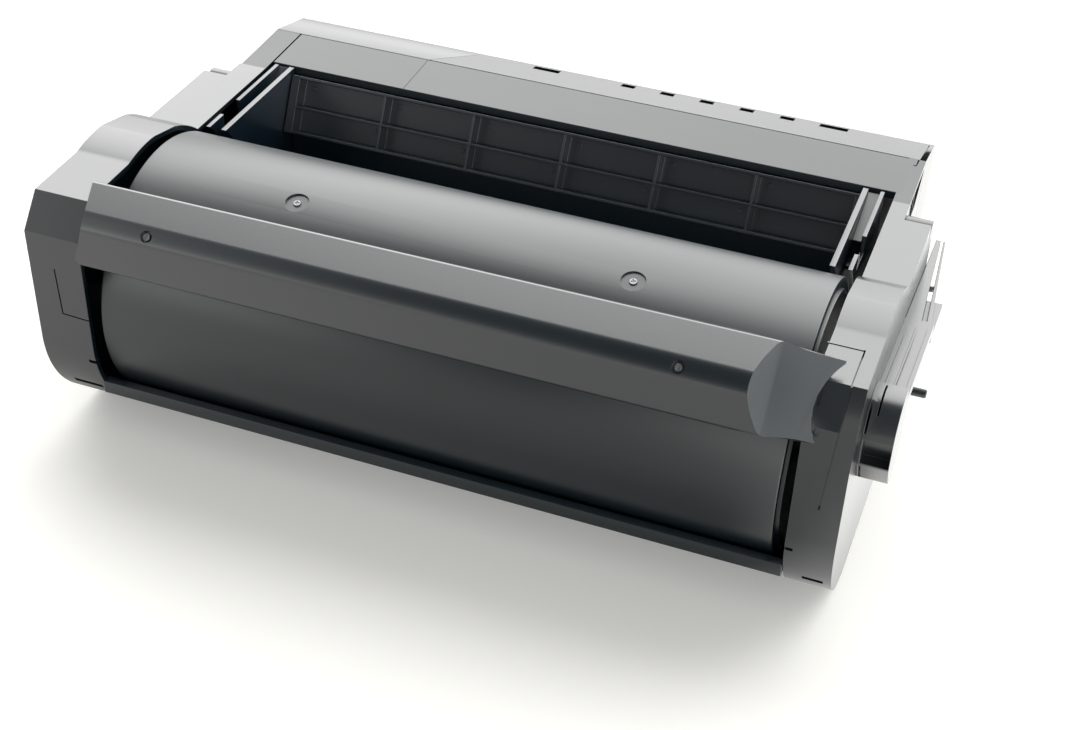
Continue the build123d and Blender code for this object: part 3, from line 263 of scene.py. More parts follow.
# Finishes
def wire(tree, source, output, target, entry):
    tree.links.new(source.outputs[output], target.inputs[entry])


def newFinish(name):
    finish = bpy.data.materials.new(name)
    finish.use_nodes = True
    tree = finish.node_tree
    return finish, tree, tree.nodes["Principled BSDF"]


def mixColour(tree, amount, light, dark):
    # Blends two colours by a grey value
    ramp = tree.nodes.new("ShaderNodeValToRGB")
    ramp.color_ramp.elements[0].color = (*dark, 1)
    ramp.color_ramp.elements[1].color = (*light, 1)
    ramp.color_ramp.elements[0].position = 0.3
    ramp.color_ramp.elements[1].position = 0.7
    tree.links.new(amount, ramp.inputs["Fac"])
    return ramp.outputs["Color"]


def noise(tree, place, scale, detail=4.0, rough=0.55, stretch=(1, 1, 1)):
    mapping = tree.nodes.new("ShaderNodeMapping")
    mapping.inputs["Scale"].default_value = stretch
    tree.links.new(place, mapping.inputs["Vector"])
    grain = tree.nodes.new("ShaderNodeTexNoise")
    grain.inputs["Scale"].default_value = scale
    grain.inputs["Detail"].default_value = detail
    grain.inputs["Roughness"].default_value = rough
    tree.links.new(mapping.outputs["Vector"], grain.inputs["Vector"])
    return grain.outputs["Fac"]


def spread(tree, amount, low, high, fromLow=0.3, fromHigh=0.7):
    reach = tree.nodes.new("ShaderNodeMapRange")
    reach.inputs["From Min"].default_value = fromLow
    reach.inputs["From Max"].default_value = fromHigh
    reach.inputs["To Min"].default_value = low
    reach.inputs["To Max"].default_value = high
    tree.links.new(amount, reach.inputs["Value"])
    return reach.outputs["Result"]


def mouldedPlastic(name, light, dark, gloss, grain=900.0, shine=0.5, ior=1.5, bump=0.1):
    # Moulded plastic: a faint cloudy tone along the flow and a fine spark-eroded grain
    finish, tree, surface = newFinish(name)
    place = tree.nodes.new("ShaderNodeTexCoord").outputs["Object"]
    cloud = noise(tree, place, 9.0, 3.0, 0.5, (1, 6, 6))
    tree.links.new(mixColour(tree, cloud, light, dark), surface.inputs["Base Color"])
    rub = noise(tree, place, 14.0, 3.0, 0.5, (0.5, 1.6, 1.6))
    tree.links.new(spread(tree, rub, gloss - 0.012, gloss + 0.012), surface.inputs["Roughness"])
    fine = noise(tree, place, grain, 2.0, 0.5)
    relief = tree.nodes.new("ShaderNodeBump")
    relief.inputs["Strength"].default_value = bump
    relief.inputs["Distance"].default_value = 0.0001
    tree.links.new(fine, relief.inputs["Height"])
    wire(tree, relief, "Normal", surface, "Normal")
    surface.inputs["Specular IOR Level"].default_value = shine
    surface.inputs["IOR"].default_value = ior
    return finish


def turnedSteel(name, light, dark, gloss):
    # Ground steel with fine rings round the axis
    finish, tree, surface = newFinish(name)
    place = tree.nodes.new("ShaderNodeTexCoord").outputs["Object"]
    rings = noise(tree, place, 60.0, 3.0, 0.6, (30, 1, 1))
    tree.links.new(mixColour(tree, rings, light, dark), surface.inputs["Base Color"])
    tree.links.new(spread(tree, rings, gloss - 0.06, gloss + 0.08), surface.inputs["Roughness"])
    relief = tree.nodes.new("ShaderNodeBump")
    relief.inputs["Strength"].default_value = 0.15
    relief.inputs["Distance"].default_value = 0.0001
    tree.links.new(rings, relief.inputs["Height"])
    wire(tree, relief, "Normal", surface, "Normal")
    surface.inputs["Metallic"].default_value = 1.0
    return finish


shellPlastic = mouldedPlastic("shellPlastic", (0.007, 0.015, 0.021), (0.005, 0.012, 0.017), 0.35,
                              shine=0.75, ior=1.7)
stripPlastic = mouldedPlastic("stripPlastic", (0.009, 0.017, 0.022), (0.006, 0.013, 0.017), 0.38,
                              shine=0.64, ior=1.7)
coverPlastic = mouldedPlastic("coverPlastic", (0.005, 0.012, 0.017), (0.003, 0.009, 0.013), 0.26,
                              shine=0.95, ior=1.77)
barPlastic = mouldedPlastic("barPlastic", (0.004, 0.012, 0.018), (0.002, 0.009, 0.014), 0.22,
                            shine=0.97, ior=1.9)
# The scoop is the bar's plastic made matt, with a paler base colour painted in as the even light it shows
scoopMattPaintedLight = mouldedPlastic("scoopMattPaintedLight", (0.125, 0.138, 0.147), (0.117, 0.130, 0.139), 0.6,
                              shine=0.6, ior=1.6)
darkPlastic = mouldedPlastic("darkPlastic", (0.002, 0.013, 0.023), (0.001, 0.009, 0.018), 0.30,
                             grain=1100.0, shine=0.91, ior=1.76)
gearPlastic = mouldedPlastic("gearPlastic", (0.74, 0.72, 0.66), (0.68, 0.66, 0.60), 0.45)
drumCoat = mouldedPlastic("drumCoat", (0.03, 0.14, 0.22), (0.02, 0.11, 0.19), 0.15, grain=400.0, bump=0.02)
rollerRubber = mouldedPlastic("rollerRubber", (0.018, 0.018, 0.019), (0.012, 0.012, 0.013), 0.75,
                              grain=1500.0, bump=0.3)
bladeRubber = mouldedPlastic("bladeRubber", (0.40, 0.27, 0.11), (0.34, 0.22, 0.09), 0.5, grain=700.0)
darkSteel = turnedSteel("darkSteel", (0.075, 0.080, 0.083), (0.050, 0.054, 0.057), 0.42)
screwSteel = turnedSteel("screwSteel", (0.34, 0.35, 0.36), (0.24, 0.25, 0.26), 0.36)
groundSteel = turnedSteel("groundSteel", (0.56, 0.57, 0.59), (0.42, 0.43, 0.45), 0.3)
sleeveMetal = turnedSteel("sleeveMetal", (0.16, 0.16, 0.17), (0.11, 0.11, 0.12), 0.55)
print("finishes made")

finishOfSlot = {
    "grey_shell": shellPlastic,
    "dark_frame": darkPlastic,
    "gear_plastic": gearPlastic,
    "steel": groundSteel,
    "drum_coating": drumCoat,
    "sleeve_aluminium": sleeveMetal,
    "roller_rubber": rollerRubber,
    "blade_rubber": bladeRubber,
}
slotOfNode = {part["node"]: part["material_slot"] for part in frame["record"]["subparts"]}
finishOfNode = {"drum_shaft": darkSteel, "hopper_screws": darkSteel, "handle_screws": darkSteel}
for name, node in nodes.items():
    for socket in node.material_slots:
        socket.material = finishOfNode.get(name, finishOfSlot[slotOfNode[name]])
print("CAD nodes dressed")

# Toner tube
tube = {
    "radius": 57.0,
    "wall": 2.5,
    "leftX": -146.4,
    "rightX": 139.7,
    "endRound": (0.8, 0.25),
    "screwX": (-75.2, 66.8),
    "screwAngle": 105.2,
    "recess": 4.9,
    "recessDepth": 0.9,
    "screwHole": 1.55,
    "headFoot": 1.75,
    "headTop": 1.5,
    "headHeight": 0.6,
    "cross": (1.0, 0.22, 0.45),
    "crossLift": 0.62,
    "crossTurns": (20, 110),
    "rimRadii": (51.0, 52.4),
    "rimSpan": (-0.5, 1.2),
}


def onTube(angle, radius):
    turn = math.radians(angle)
    return shape["axis"][0] + radius * math.cos(turn), shape["axis"][1] + radius * math.sin(turn)


def outward(angle):
    return 0, math.cos(math.radians(angle)), math.sin(math.radians(angle))


def screwPlace(x, angle, radius, turn):
    # Brings a shape drawn about the origin to its place over the tube, turned about its own axis
    tilt = Matrix.Rotation(math.radians(angle - 90), 4, "X")
    spin = Matrix.Rotation(math.radians(turn), 4, "Z")
    return Matrix.Translation((x, *onTube(angle, radius))) @ tilt @ spin


def makeTonerTube():
    outer, inner = tube["radius"], tube["radius"] - tube["wall"]
    left, right = tube["leftX"], tube["rightX"]
    wide, narrow = tube["endRound"]
    blank = turned([
        (left, inner), (left, outer - wide), (left + narrow, outer - narrow), (left + wide, outer),
        (right - wide, outer), (right - narrow, outer - narrow), (right, outer - wide), (right, inner),
    ], shape["axis"], 256)
    angle = tube["screwAngle"]
    cutters = []
    for x in tube["screwX"]:
        recess = (x, *onTube(angle, outer + 3 - tube["recessDepth"]))
        cutters.append(rod(recess, outward(angle), tube["recess"], 6, 64))
        hole = (x, *onTube(angle, outer))
        cutters.append(rod(hole, outward(angle), tube["screwHole"], 12, 24))
    bm = carve(blank, cutters)
    finishPiece("tonerTube", bm, shellPlastic, ["toner_hopper"], soft=0.25, sharp=40)
    low, high = tube["rimRadii"]
    start, end = [right + reach for reach in tube["rimSpan"]]
    rim = turned([(start, low), (end, low), (end, high), (start, high)], shape["axis"], 128)
    finishPiece("tubeRim", rim, darkPlastic, soft=0.2)


def makeTubeScrews():
    # Low round heads that stand in the recesses, each with a small cross
    angle, height = tube["screwAngle"], tube["headHeight"]
    floor = tube["radius"] - tube["recessDepth"]
    shells = []
    for x in tube["screwX"]:
        middle = (x, *onTube(angle, floor + height / 2))
        head = rod(middle, outward(angle), tube["headFoot"], height, 40, tube["headTop"])
        arms = []
        for turn in tube["crossTurns"]:
            arm = block([-half for half in tube["cross"]], tube["cross"])
            place = screwPlace(x, angle, floor + tube["crossLift"], turn)
            bmesh.ops.transform(arm, matrix=place, verts=arm.verts)
            arms.append(arm)
        shells.append(carve(head, arms))
    finishPiece("tubeScrews", joined(*shells), screwSteel, ["hopper_screws"], soft=0.06, steps=2)


makeTonerTube()
makeTubeScrews()
print("toner tube made")

# Handle bar: its section runs down the bar's back from the top edge, and lifts off it
bar = {
    "top": (-95.0, 122.5),
    "down": (-0.5964, -0.8027),
    "width": 33.8,
    "ridge": (16.45, 10.07),
    "ridgeRound": 9.0,
    "edge": 2.2,
    "endEdge": 4.4,
    "edgeRound": 0.9,
    "wall": 2.4,
    "hollowSide": 4.5,
    "hollowShoulder": 0.4,
    "hollowGap": 8.0,
    "leftX": -151.5,
    "leftSlant": (-10.0, 5.2),
    "cornerRound": 4.2,
    "cornerInset": -0.1,
    "rim": 0.5,
    "rimReach": 12.0,
    "tipX": 154.2,
    "lowTipX": 150.4,
    "lowTipFrom": 20.0,
    "bite": ((154.2, 1.0), (147.2, 17.5), (150.2, 33.0)),
    "scoop": ((123.2, 20.0), (123.4, 10.07), (124.3, 7.4), (125.6, 5.0), (127.2, 3.0), (129.0, 1.2),
              (131.0, 0.4), (133.5, 0.4), (136.5, 0.7), (140.0, 1.2), (144.0, 2.0), (148.0, 2.4),
              (152.0, 2.5), (158.0, 2.5)),
    "swing": 3.0,
    "swingLength": 290.0,
    "swingMost": 1.1,
    "bend": (127.0, 146.0, 4.9),
    "pinch": (2.1, 2.4),
    "screwX": (-118.4, 97.9),
    "screwHole": 2.45,
    "screwHead": 1.75,
    "screwDepth": 2.5,
    "headHeight": 1.1,
    "headDome": 0.35,
    "slot": ((-1.1, -0.24, 0.15), (1.1, 0.24, 1.0)),
    "slotTurn": 70,
    "past": 20.0,
}


def barPoint(along, lift):
    downY, downZ = bar["down"]
    return bar["top"][0] + along * downY + lift * downZ, bar["top"][1] + along * downZ - lift * downY


def barBend(x):
    # How far the drive end is bent outwards, so that its two tips lie on the end cover
    bendFrom, bendTo, bend = bar["bend"]
    share = min(1.0, max(0.0, (x - bendFrom) / (bendTo - bendFrom)))
    return bend * share * share * (3 - 2 * share)


def barRidge():
    # Angle and distance of the ridge as seen from the tube's axis
    ridge, axis = barPoint(*bar["ridge"]), shape["axis"]
    angle = math.degrees(math.atan2(ridge[1] - axis[1], ridge[0] - axis[0]))
    return angle, math.dist(ridge, axis)


def barBlank():
    width, edge = bar["width"], bar["endEdge"]
    ridgeAlong, ridgeLift = bar["ridge"]
    places = [barPoint(0, 0), barPoint(ridgeAlong, ridgeLift), barPoint(width, 0)]
    bm = bmesh.new()
    sideOutline(bm, bar["leftX"], [barPoint(0, -edge), *places, barPoint(width, -edge)])
    top, peak, low = [min(bm.verts, key=lambda spot: math.dist(spot.co[1:], place)) for place in places]
    rise = math.atan2(ridgeLift, ridgeAlong) + math.atan2(ridgeLift, width - ridgeAlong)
    bmesh.ops.bevel(bm, geom=[peak], offset=bar["ridgeRound"] * math.tan(rise / 2), segments=16,
                    affect="VERTICES", profile=0.5, material=-1, offset_type="OFFSET")
    bmesh.ops.bevel(bm, geom=[top, low], offset=bar["edgeRound"], segments=5,
                    affect="VERTICES", profile=0.5, material=-1, offset_type="OFFSET")
    pull(bm, list(bm.faces), (bar["tipX"] - bar["leftX"], 0, 0))
    bmesh.ops.recalc_face_normals(bm, faces=bm.faces)
    return bm


def slantLeftEnd(bm, lift):
    # The left end leans in towards the ridge
    across, out = bar["leftSlant"]
    lean = Vector((across, 0, 0)) + lift * out
    cut = bmesh.ops.bisect_plane(bm, geom=bm.verts[:] + bm.edges[:] + bm.faces[:], dist=0.0001,
                                 plane_co=(bar["leftX"], *barPoint(0, 0)), plane_no=lean, clear_outer=True)
    opened = [item for item in cut["geom_cut"] if isinstance(item, bmesh.types.BMEdge)]
    bmesh.ops.contextual_create(bm, geom=opened)
    bmesh.ops.recalc_face_normals(bm, faces=bm.faces)


def cornerTool(lift):
    # Takes the lower left corner off, round in the plane of the bar's back
    width, turn, past = bar["width"], bar["cornerRound"], bar["past"]
    edgeX = bar["leftX"] + bar["cornerInset"]
    bm = bmesh.new()
    far = bm.verts.new((edgeX - 3, *barPoint(width + 2, -past)))
    side = bm.verts.new((edgeX + turn, *barPoint(width + 2, -past)))
    start = bm.verts.new((edgeX + turn, *barPoint(width, -past)))
    bm.edges.new((far, side))
    bm.edges.new((side, start))
    pivot = (edgeX + turn, *barPoint(width - turn, -past))
    spun = bmesh.ops.spin(bm, geom=[start], cent=pivot, axis=lift, angle=math.radians(-90), steps=10,
                          use_merge=False)
    last = vertsIn(spun["geom_last"])[0]
    away = bm.verts.new((edgeX - 3, *barPoint(width - turn, -past)))
    bm.edges.new((last, away))
    bm.edges.new((away, far))
    chip = bmesh.ops.contextual_create(bm, geom=bm.edges[:])["faces"]
    pull(bm, chip, lift * (2 * past))
    bmesh.ops.recalc_face_normals(bm, faces=bm.faces)
    return bm


def roundLeftRim(bm):
    endX = bar["leftX"] + bar["rimReach"]
    rim = [edge for edge in bm.edges if edge.is_manifold and edge.calc_face_angle(0.0) > math.radians(40)
           and max(spot.co.x for spot in edge.verts) < endX]
    bmesh.ops.bevel(bm, geom=rim, offset=bar["rim"], segments=3, affect="EDGES", profile=0.5, material=-1,
                    clamp_overlap=True)


def circleThrough(first, second, third):
    # Centre and radius of the circle through three flat points
    (ax, ay), (bx, by), (cx, cy) = first, second, third
    twice = 2 * (ax * (by - cy) + bx * (cy - ay) + cx * (ay - by))
    a, b, c = ax * ax + ay * ay, bx * bx + by * by, cx * cx + cy * cy
    x = (a * (by - cy) + b * (cy - ay) + c * (ay - by)) / twice
    y = (a * (cx - bx) + b * (ax - cx) + c * (bx - ax)) / twice
    return x, y, math.dist((x, y), first)


def undersideTool():
    # Leaves only the drive end as deep as the blank
    width, edge = bar["width"], bar["edge"]
    outline = [barPoint(-5, -edge), barPoint(-5, -12), barPoint(width + 5, -12), barPoint(width + 5, -edge)]
    return barAlong(outline, bar["leftX"] - 9, bar["scoop"][1][0] - 4)


def hollowTool():
    side, shoulder = bar["hollowSide"], bar["hollowShoulder"]
    far, foot = bar["width"] - side, -bar["edge"] - 1
    ridgeAlong, ridgeLift = bar["ridge"]
    outline = [
        barPoint(side, foot), barPoint(side, shoulder), barPoint(ridgeAlong, ridgeLift - 2 * bar["wall"]),
        barPoint(far, shoulder), barPoint(far, foot),
    ]
    return barAlong(outline, bar["leftX"] + 3 * bar["wall"], bar["scoop"][1][0] - bar["hollowGap"])


def scoopTool():
    # The scoop's outline lies along the bar, and is pulled down the whole width of its back
    past = bar["past"]
    outline = [(x, height - barBend(x)) for x, height in bar["scoop"]]
    outline.append((bar["tipX"] + 4, past))
    down = Vector((0, *barPoint(bar["width"] + past, 0))) - Vector((0, *barPoint(-past, 0)))
    return prism([(x, *barPoint(-past, height)) for x, height in outline], down)


def biteTool(lift):
    # The bite between the two tips
    x, along, radius = circleThrough(*bar["bite"])
    return rod((x, *barPoint(along, 0)), lift, radius, 40, 256)


def lowTipTool(lift):
    # Makes the lower tip shorter than the upper one
    past, start, end = bar["past"], bar["lowTipFrom"], bar["width"] + 6
    left, right = bar["lowTipX"], bar["tipX"] + 4
    outline = ((left, start), (left, end), (right, end), (right, start))
    return prism([(x, *barPoint(along, -past)) for x, along in outline], lift * (2 * past))


def shapeDriveEnd(bm, lift):
    # The drive end swings back along its top edge, bends outwards, and is drawn in at both edges
    top = Vector((0, *barPoint(0, 0)))
    way = Vector((0, *bar["down"]))
    ridgeAlong = bar["ridge"][0]
    for spot in bm.verts:
        along = (Vector((0, spot.co.y, spot.co.z)) - top).dot(way)
        fromLeft = max(0.0, (spot.co.x - bar["leftX"]) / bar["swingLength"])
        share = max(0.0, 1.0 - along / ridgeAlong) * fromLeft
        spot.co.y += bar["swing"] * min(share, bar["swingMost"])
    high, low = bar["pinch"]
    for spot in bm.verts:
        bend = barBend(spot.co.x)
        down = (Vector((0, spot.co.y, spot.co.z)) - top).dot(way) / bar["width"]
        share = bend / bar["bend"][2]
        spot.co += lift * bend + way * (share * (high * (1 - down) - low * down))


def makeHandleBar():
    lift = Vector((0, bar["down"][1], -bar["down"][0]))
    bm = barBlank()
    slantLeftEnd(bm, lift)
    bm = carve(bm, [cornerTool(lift)])
    roundLeftRim(bm)
    cutters = [undersideTool(), hollowTool(), scoopTool(), biteTool(lift), lowTipTool(lift)]
    angle, reach = barRidge()
    for x in bar["screwX"]:
        cutters.append(rod((x, *onTube(angle, reach + 3.0)), outward(angle), bar["screwHole"], 12.0, 40))
    bm = carve(bm, cutters)
    shapeDriveEnd(bm, lift)
    piece = finishPiece("handleBar", bm, barPlastic, ["front_handle"], soft=0, sharp=24)
    # The scoop at the drive end is matt, and its paler grey is painted light: the even lit grey the scoop
    # shows
    scoopX = bar["scoop"][1][0] / 1000
    dressFaces(piece, scoopMattPaintedLight, lambda face: face.center[0] > scoopX and face.normal.dot(lift) > 0.0)


def makeHandleScrews():
    # Small domed heads at the bottom of their holes, each with a slot
    angle, reach = barRidge()
    radius = reach - bar["screwDepth"]
    foot, top = bar["screwHead"], bar["screwHead"] - bar["headDome"]
    shells = []
    for x in bar["screwX"]:
        head = rod((x, *onTube(angle, radius)), outward(angle), foot, bar["headHeight"], 40, top)
        slot = block(*bar["slot"])
        bmesh.ops.transform(slot, matrix=screwPlace(x, angle, radius, bar["slotTurn"]), verts=slot.verts)
        shells.append(carve(head, [slot]))
    finishPiece("handleScrews", joined(*shells), screwSteel, ["handle_screws"], soft=0.06, steps=2)


makeHandleBar()
makeHandleScrews()
print("handle bar made")

# End covers
cover = {
    "nose": 58.5,
    "chamferLow": 102.5,
    "chamferBack": -100.5,
    "chamferInset": 0.45,
    "brow": 116.0,
    "browBack": -70.0,
    "crestFront": -49.0,
    "crestBack": -33.0,
    "lowRound": 50.0,
    "deck": 105.5,
    "deckBack": 35.0,
    "notchBack": 48.0,
    "notchFloor": 95.5,
    "notchDepth": 11.4,
    "bossLift": 3.2,
    "bossRadius": 4.6,
    "ledge": ((0.6, -0.2), (4.2, 2.6)),
    "back": 84.4,
    "backRise": 1.6,
    "rearOverlap": 10.0,
    "bottom": 0.8,
    "wall": 2.4,
    "seam": 0.6,
    "seamDepth": 1.2,
    "soft": 0.6,
    "slot": (211.5, 3.2, 3.4),
    "nick": (189.0, 1.7, 2.0),
}
leftCover = {
    "outer": -176.0,
    "inner": -151.2,
    "narrow": 12.4,
    "slot": (-168.5, -154.5),
    "nick": (-154.6, -150.8),
    "seams": (((-164.3, -111.5, 87.0), (-163.5, -111.4, 65.2), (0, -1, 0)),
              ((-163.7, -111.4, 65.2), (-151.0, -111.4, 64.7), (0, -1, 0))),
}
rightCover = {
    "outer": 164.0,
    "inner": 145.2,
    "narrow": 11.5,
    "bulge": (58.0, 44.0),
    "pinCollar": (1.35, 5.2, 2.7),
    "recess": ((50.5, 104.2), (50.5, 90.0), (69.0, 93.0), (82.0, 103.4), (82.0, 104.4)),
    "recessDepth": 3.2,
    "recessRibs": (57.5, 65.5),
    "recessRib": ((-3.3, 0.0, 89.0), (-0.5, 1.1, 104.9)),
    "underBar": ((1, -0.9), (1, 4), (18, 4), (18, -0.9)),
    "underBarX": (144.2, 148.8),
    "slot": (152.6, 160.8),
    "nick": (144.8, 148.4),
    "seams": (((144.5, -79.0, 115.75), (158.4, -79.0, 115.75), (0, 0, 1)),
              ((158.3, -78.8, 116.1), (158.2, -100.6, 116.0), (0, 0, 1)),
              ((158.2, -100.2, 116.3), (158.1, -111.8, 102.2), (0, -0.78, 0.63)),
              ((158.1, -111.5, 102.8), (155.4, -111.5, 66.0), (0, -1, 0)),
              ((149.2, 79.0, 106.7), (149.4, 86.0, 107.0), (0, 0, 1)),
              ((146.2, 79.0, 106.7), (149.4, 79.0, 106.7), (0, 0, 1))),
}


def crownPoint(y, wall):
    axisY, axisZ = shape["axis"]
    return y, axisZ + math.sqrt((cover["nose"] - wall) ** 2 - (y - axisY) ** 2)


def coverCorners(wall, back):
    # The side view of a cover's front half, moved in by a wall; the crown is parts of the nose's circle
    axisY, axisZ = shape["axis"]
    radius = cover["nose"] - wall
    low = cover["lowRound"] - wall
    top = cover["deck"] - wall
    angles = []
    deckFront = axisY + math.sqrt(radius ** 2 - (top - axisZ) ** 2)
    for y in (deckFront, cover["crestBack"], cover["crestFront"], cover["browBack"]):
        here = crownPoint(y, wall)
        angles.append((math.degrees(math.atan2(here[1] - axisZ, y - axisY)), here))
    lean = wall * cover["chamferInset"]
    front = axisY - radius
    return [
        (front, cover["chamferLow"] - lean), (front, cover["bottom"] + wall + low),
        (front + low, cover["bottom"] + wall + low, 90.0),
        (back - wall, cover["bottom"] + wall), (back - wall, top), angles[0][1],
        (axisY, axisZ, angles[1][0] - angles[0][0]), angles[2][1],
        (axisY, axisZ, angles[3][0] - angles[2][0]), (cover["chamferBack"] + lean, cover["brow"] - wall),
    ]


def rearCorners(wall):
    # The narrow rear half, whose top rises a little to the back
    front = cover["notchBack"] - cover["rearOverlap"] - wall
    low, top = cover["bottom"] + wall, cover["deck"] - wall
    return [(front, low), (cover["back"] - wall, low), (cover["back"] - wall, top + cover["backRise"]),
            (cover["notchBack"], top), (front, top)]


def coverShell(side, inward, step):
    # The two halves in one, hollow and open on the inner side
    outer, inner, wall = side["outer"], side["inner"], cover["wall"]
    parts = [barAlong(rearCorners(0), step, inner)]
    if "bulge" in side:
        bulgeBack, bulgeTop = side["bulge"]
        start = (inner, cover["notchBack"] - cover["rearOverlap"], cover["bottom"])
        parts.append(block(start, (outer, bulgeBack, bulgeTop)))
        reach, radius, depth = side["pinCollar"]
        parts.append(rod((outer + reach, *shape["drumAxis"]), (1, 0, 0), radius, depth, 48))
    bm = carve(barAlong(coverCorners(0, cover["notchBack"]), outer, inner), parts, "UNION")
    past = inner + inward
    hollows = [
        barAlong(coverCorners(wall, cover["notchBack"]), outer + inward * wall, past),
        barAlong(rearCorners(wall), step + inward * wall, past),
    ]
    return carve(bm, hollows)


def withNotch(bm, outer, inward):
    # The notch in the deck has its own floor, with a half-round boss and a ledge on it
    front, back, floor = cover["deckBack"], cover["notchBack"], cover["notchFloor"]
    depth, wall = cover["notchDepth"], cover["wall"]
    left, right = sorted((outer, outer + inward * (depth + wall)))
    seat = block((left, front - wall, floor - wall), (right, back, cover["deck"] - 0.2))
    bm = carve(bm, [seat], "UNION")
    left, right = sorted((outer - inward, outer + inward * depth))
    gap = block((left, front, floor), (right, back + 1, cover["deck"] + 1))
    bm = carve(bm, [gap])
    middle = outer + inward * depth / 2
    bossPlace = (middle, (front + back) / 2, floor + cover["bossLift"])
    boss = rod(bossPlace, (1, 0, 0), cover["bossRadius"], depth, 48)
    (nearY, lowZ), (farY, highZ) = cover["ledge"]
    ledge = block((middle - depth / 2, front + nearY, floor + lowZ),
                  (middle + depth / 2, front + farY, floor + highZ))
    return carve(bm, [boss, ledge], "UNION")


def withRecess(bm, side, step):
    # A recess with ribs in the side of the narrow half
    shelf = barAlong(side["recess"], step - side["recessDepth"], step + 1)
    bm = carve(bm, [shelf])
    (lowX, lowY, lowZ), (highX, highY, highZ) = side["recessRib"]
    ribs = [block((step + lowX, y + lowY, lowZ), (step + highX, y + highY, highZ))
            for y in side["recessRibs"]]
    return carve(bm, ribs, "UNION")


def lowCut(side, kind):
    # A slot or a nick that runs along X in the round lower front of a cover
    angle, width, depth = cover[kind]
    left, right = side[kind]
    out = outward(angle)
    radius = cover["lowRound"]
    y = shape["axis"][0] - cover["nose"] + radius + radius * out[1]
    z = cover["bottom"] + radius + radius * out[2]
    return seam((left, y, z), (right, y, z), width, depth, out)


def makeEndCover(name, side, node):
    inward = 1 if side["inner"] > side["outer"] else -1
    step = side["outer"] + inward * side["narrow"]
    bm = coverShell(side, inward, step)
    bm = withNotch(bm, side["outer"], inward)
    if "recess" in side:
        bm = withRecess(bm, side, step)
    bm = softened(bm, cover["soft"])
    cuts = [seam(start, end, cover["seam"], cover["seamDepth"], up) for start, end, up in side["seams"]]
    if "underBar" in side:
        # The top corner gives way where the bar's drive end lies on it
        cuts.append(barAlong([barPoint(*corner) for corner in side["underBar"]], *side["underBarX"]))
    cuts += [lowCut(side, "slot"), lowCut(side, "nick")]
    bm = carve(bm, cuts)
    piece = finishPiece(name, bm, coverPlastic, [node], soft=0, sharp=40)
    # The top of the rear half has a duller grain
    rearY = cover["notchBack"] / 1000
    dressFaces(piece, stripPlastic,
               lambda face: face.center[1] > rearY and face.normal[2] > 0.9 and face.center[2] > 0.1)


makeEndCover("leftCover", leftCover, "left_end_cover")
makeEndCover("rightCover", rightCover, "right_end_cover")
print("end covers made")

# Ribbed wall: two rows of drafted pockets on a slanted plate, drawn flat and then tipped up
ribbed = {
    "foot": (39.4, 79.2),
    "angle": 62.8,
    "height": 27.0,
    "leftX": -138.9,
    "rightX": 131.0,
    "firstRib": -135.35,
    "ribs": 7,
    "pitch": 44.15,
    "middle": 12.6,
    "rib": 1.5,
    "depth": 7.4,
    "draft": 0.5,
    "plate": 9.5,
    "mark": 1.2,
    "markHeight": 0.5,
    "markLift": 0.1,
    "upperMark": (5.2, -4.2),
    "lowerMark": (-5.0, -4.0),
}


def ejectorMarks(columns, rows):
    # A low disc in a corner of each pocket
    upperX, upperY = ribbed["upperMark"]
    lowerX, lowerY = ribbed["lowerMark"]
    floor = -ribbed["depth"] + ribbed["markLift"]
    marks = []
    for left in columns[1:-2]:
        right = left + ribbed["pitch"]
        for x, y in ((left + upperX, rows[3] + upperY), (right + lowerX, rows[2] + lowerY)):
            marks.append(rod((x, y, floor), (0, 0, 1), ribbed["mark"], ribbed["markHeight"], 24))
    return marks


def makeRibbedWall():
    half = ribbed["rib"] / 2
    rows = [0.0, half, ribbed["middle"], ribbed["height"] - half, ribbed["height"]]
    columns = [ribbed["firstRib"] + index * ribbed["pitch"] for index in range(ribbed["ribs"])]
    columns = [ribbed["leftX"], *columns, ribbed["rightX"]]
    bm = bmesh.new()
    bmesh.ops.create_grid(bm, x_segments=len(columns) - 1, y_segments=len(rows) - 1, size=0.5)
    for corner in bm.verts:
        column = round((corner.co.x + 0.5) * (len(columns) - 1))
        row = round((corner.co.y + 0.5) * (len(rows) - 1))
        corner.co = (columns[column], rows[row], 0)
    cells = []
    for face in bm.faces:
        middle = face.calc_center_median()
        if columns[1] < middle.x < columns[-2] and rows[1] < middle.y < rows[3]:
            cells.append(face)
    bmesh.ops.inset_individual(bm, faces=cells, thickness=half, depth=0)
    bmesh.ops.inset_individual(bm, faces=cells, thickness=ribbed["draft"], depth=-ribbed["depth"])
    rim = [edge for edge in bm.edges if edge.is_boundary]
    skirt = bmesh.ops.extrude_edge_only(bm, edges=rim)["geom"]
    bmesh.ops.translate(bm, verts=vertsIn(skirt), vec=(0, 0, -ribbed["plate"]))
    bmesh.ops.contextual_create(bm, geom=[edge for edge in bm.edges if edge.is_boundary])
    bm = joined(bm, *ejectorMarks(columns, rows))
    turn = math.radians(ribbed["angle"])
    tipped = Matrix.Translation((0, *ribbed["foot"])) @ Matrix.Rotation(turn, 4, "X")
    bmesh.ops.transform(bm, matrix=tipped, verts=bm.verts)
    finishPiece("ribbedWall", bm, darkPlastic, ["ribbed_wall"], soft=0.22, sharp=40)


makeRibbedWall()
print("ribbed wall made")

# Ramps at the back of the two side channels
ramps = {
    "left": ((-147.1, -141.6), ((54.0, 104.9), (54.0, 84.5), (28.0, 84.5), (28.0, 87.0)), darkPlastic),
    "right": ((133.7, 138.9), ((54.0, 103.9), (54.0, 84.5), (27.0, 84.5), (27.0, 95.5)), shellPlastic),
}
for name, (reach, outline, finish) in ramps.items():
    finishPiece(name + "ChannelRamp", barAlong(outline, *reach), finish, soft=0.2)
print("channel ramps made")

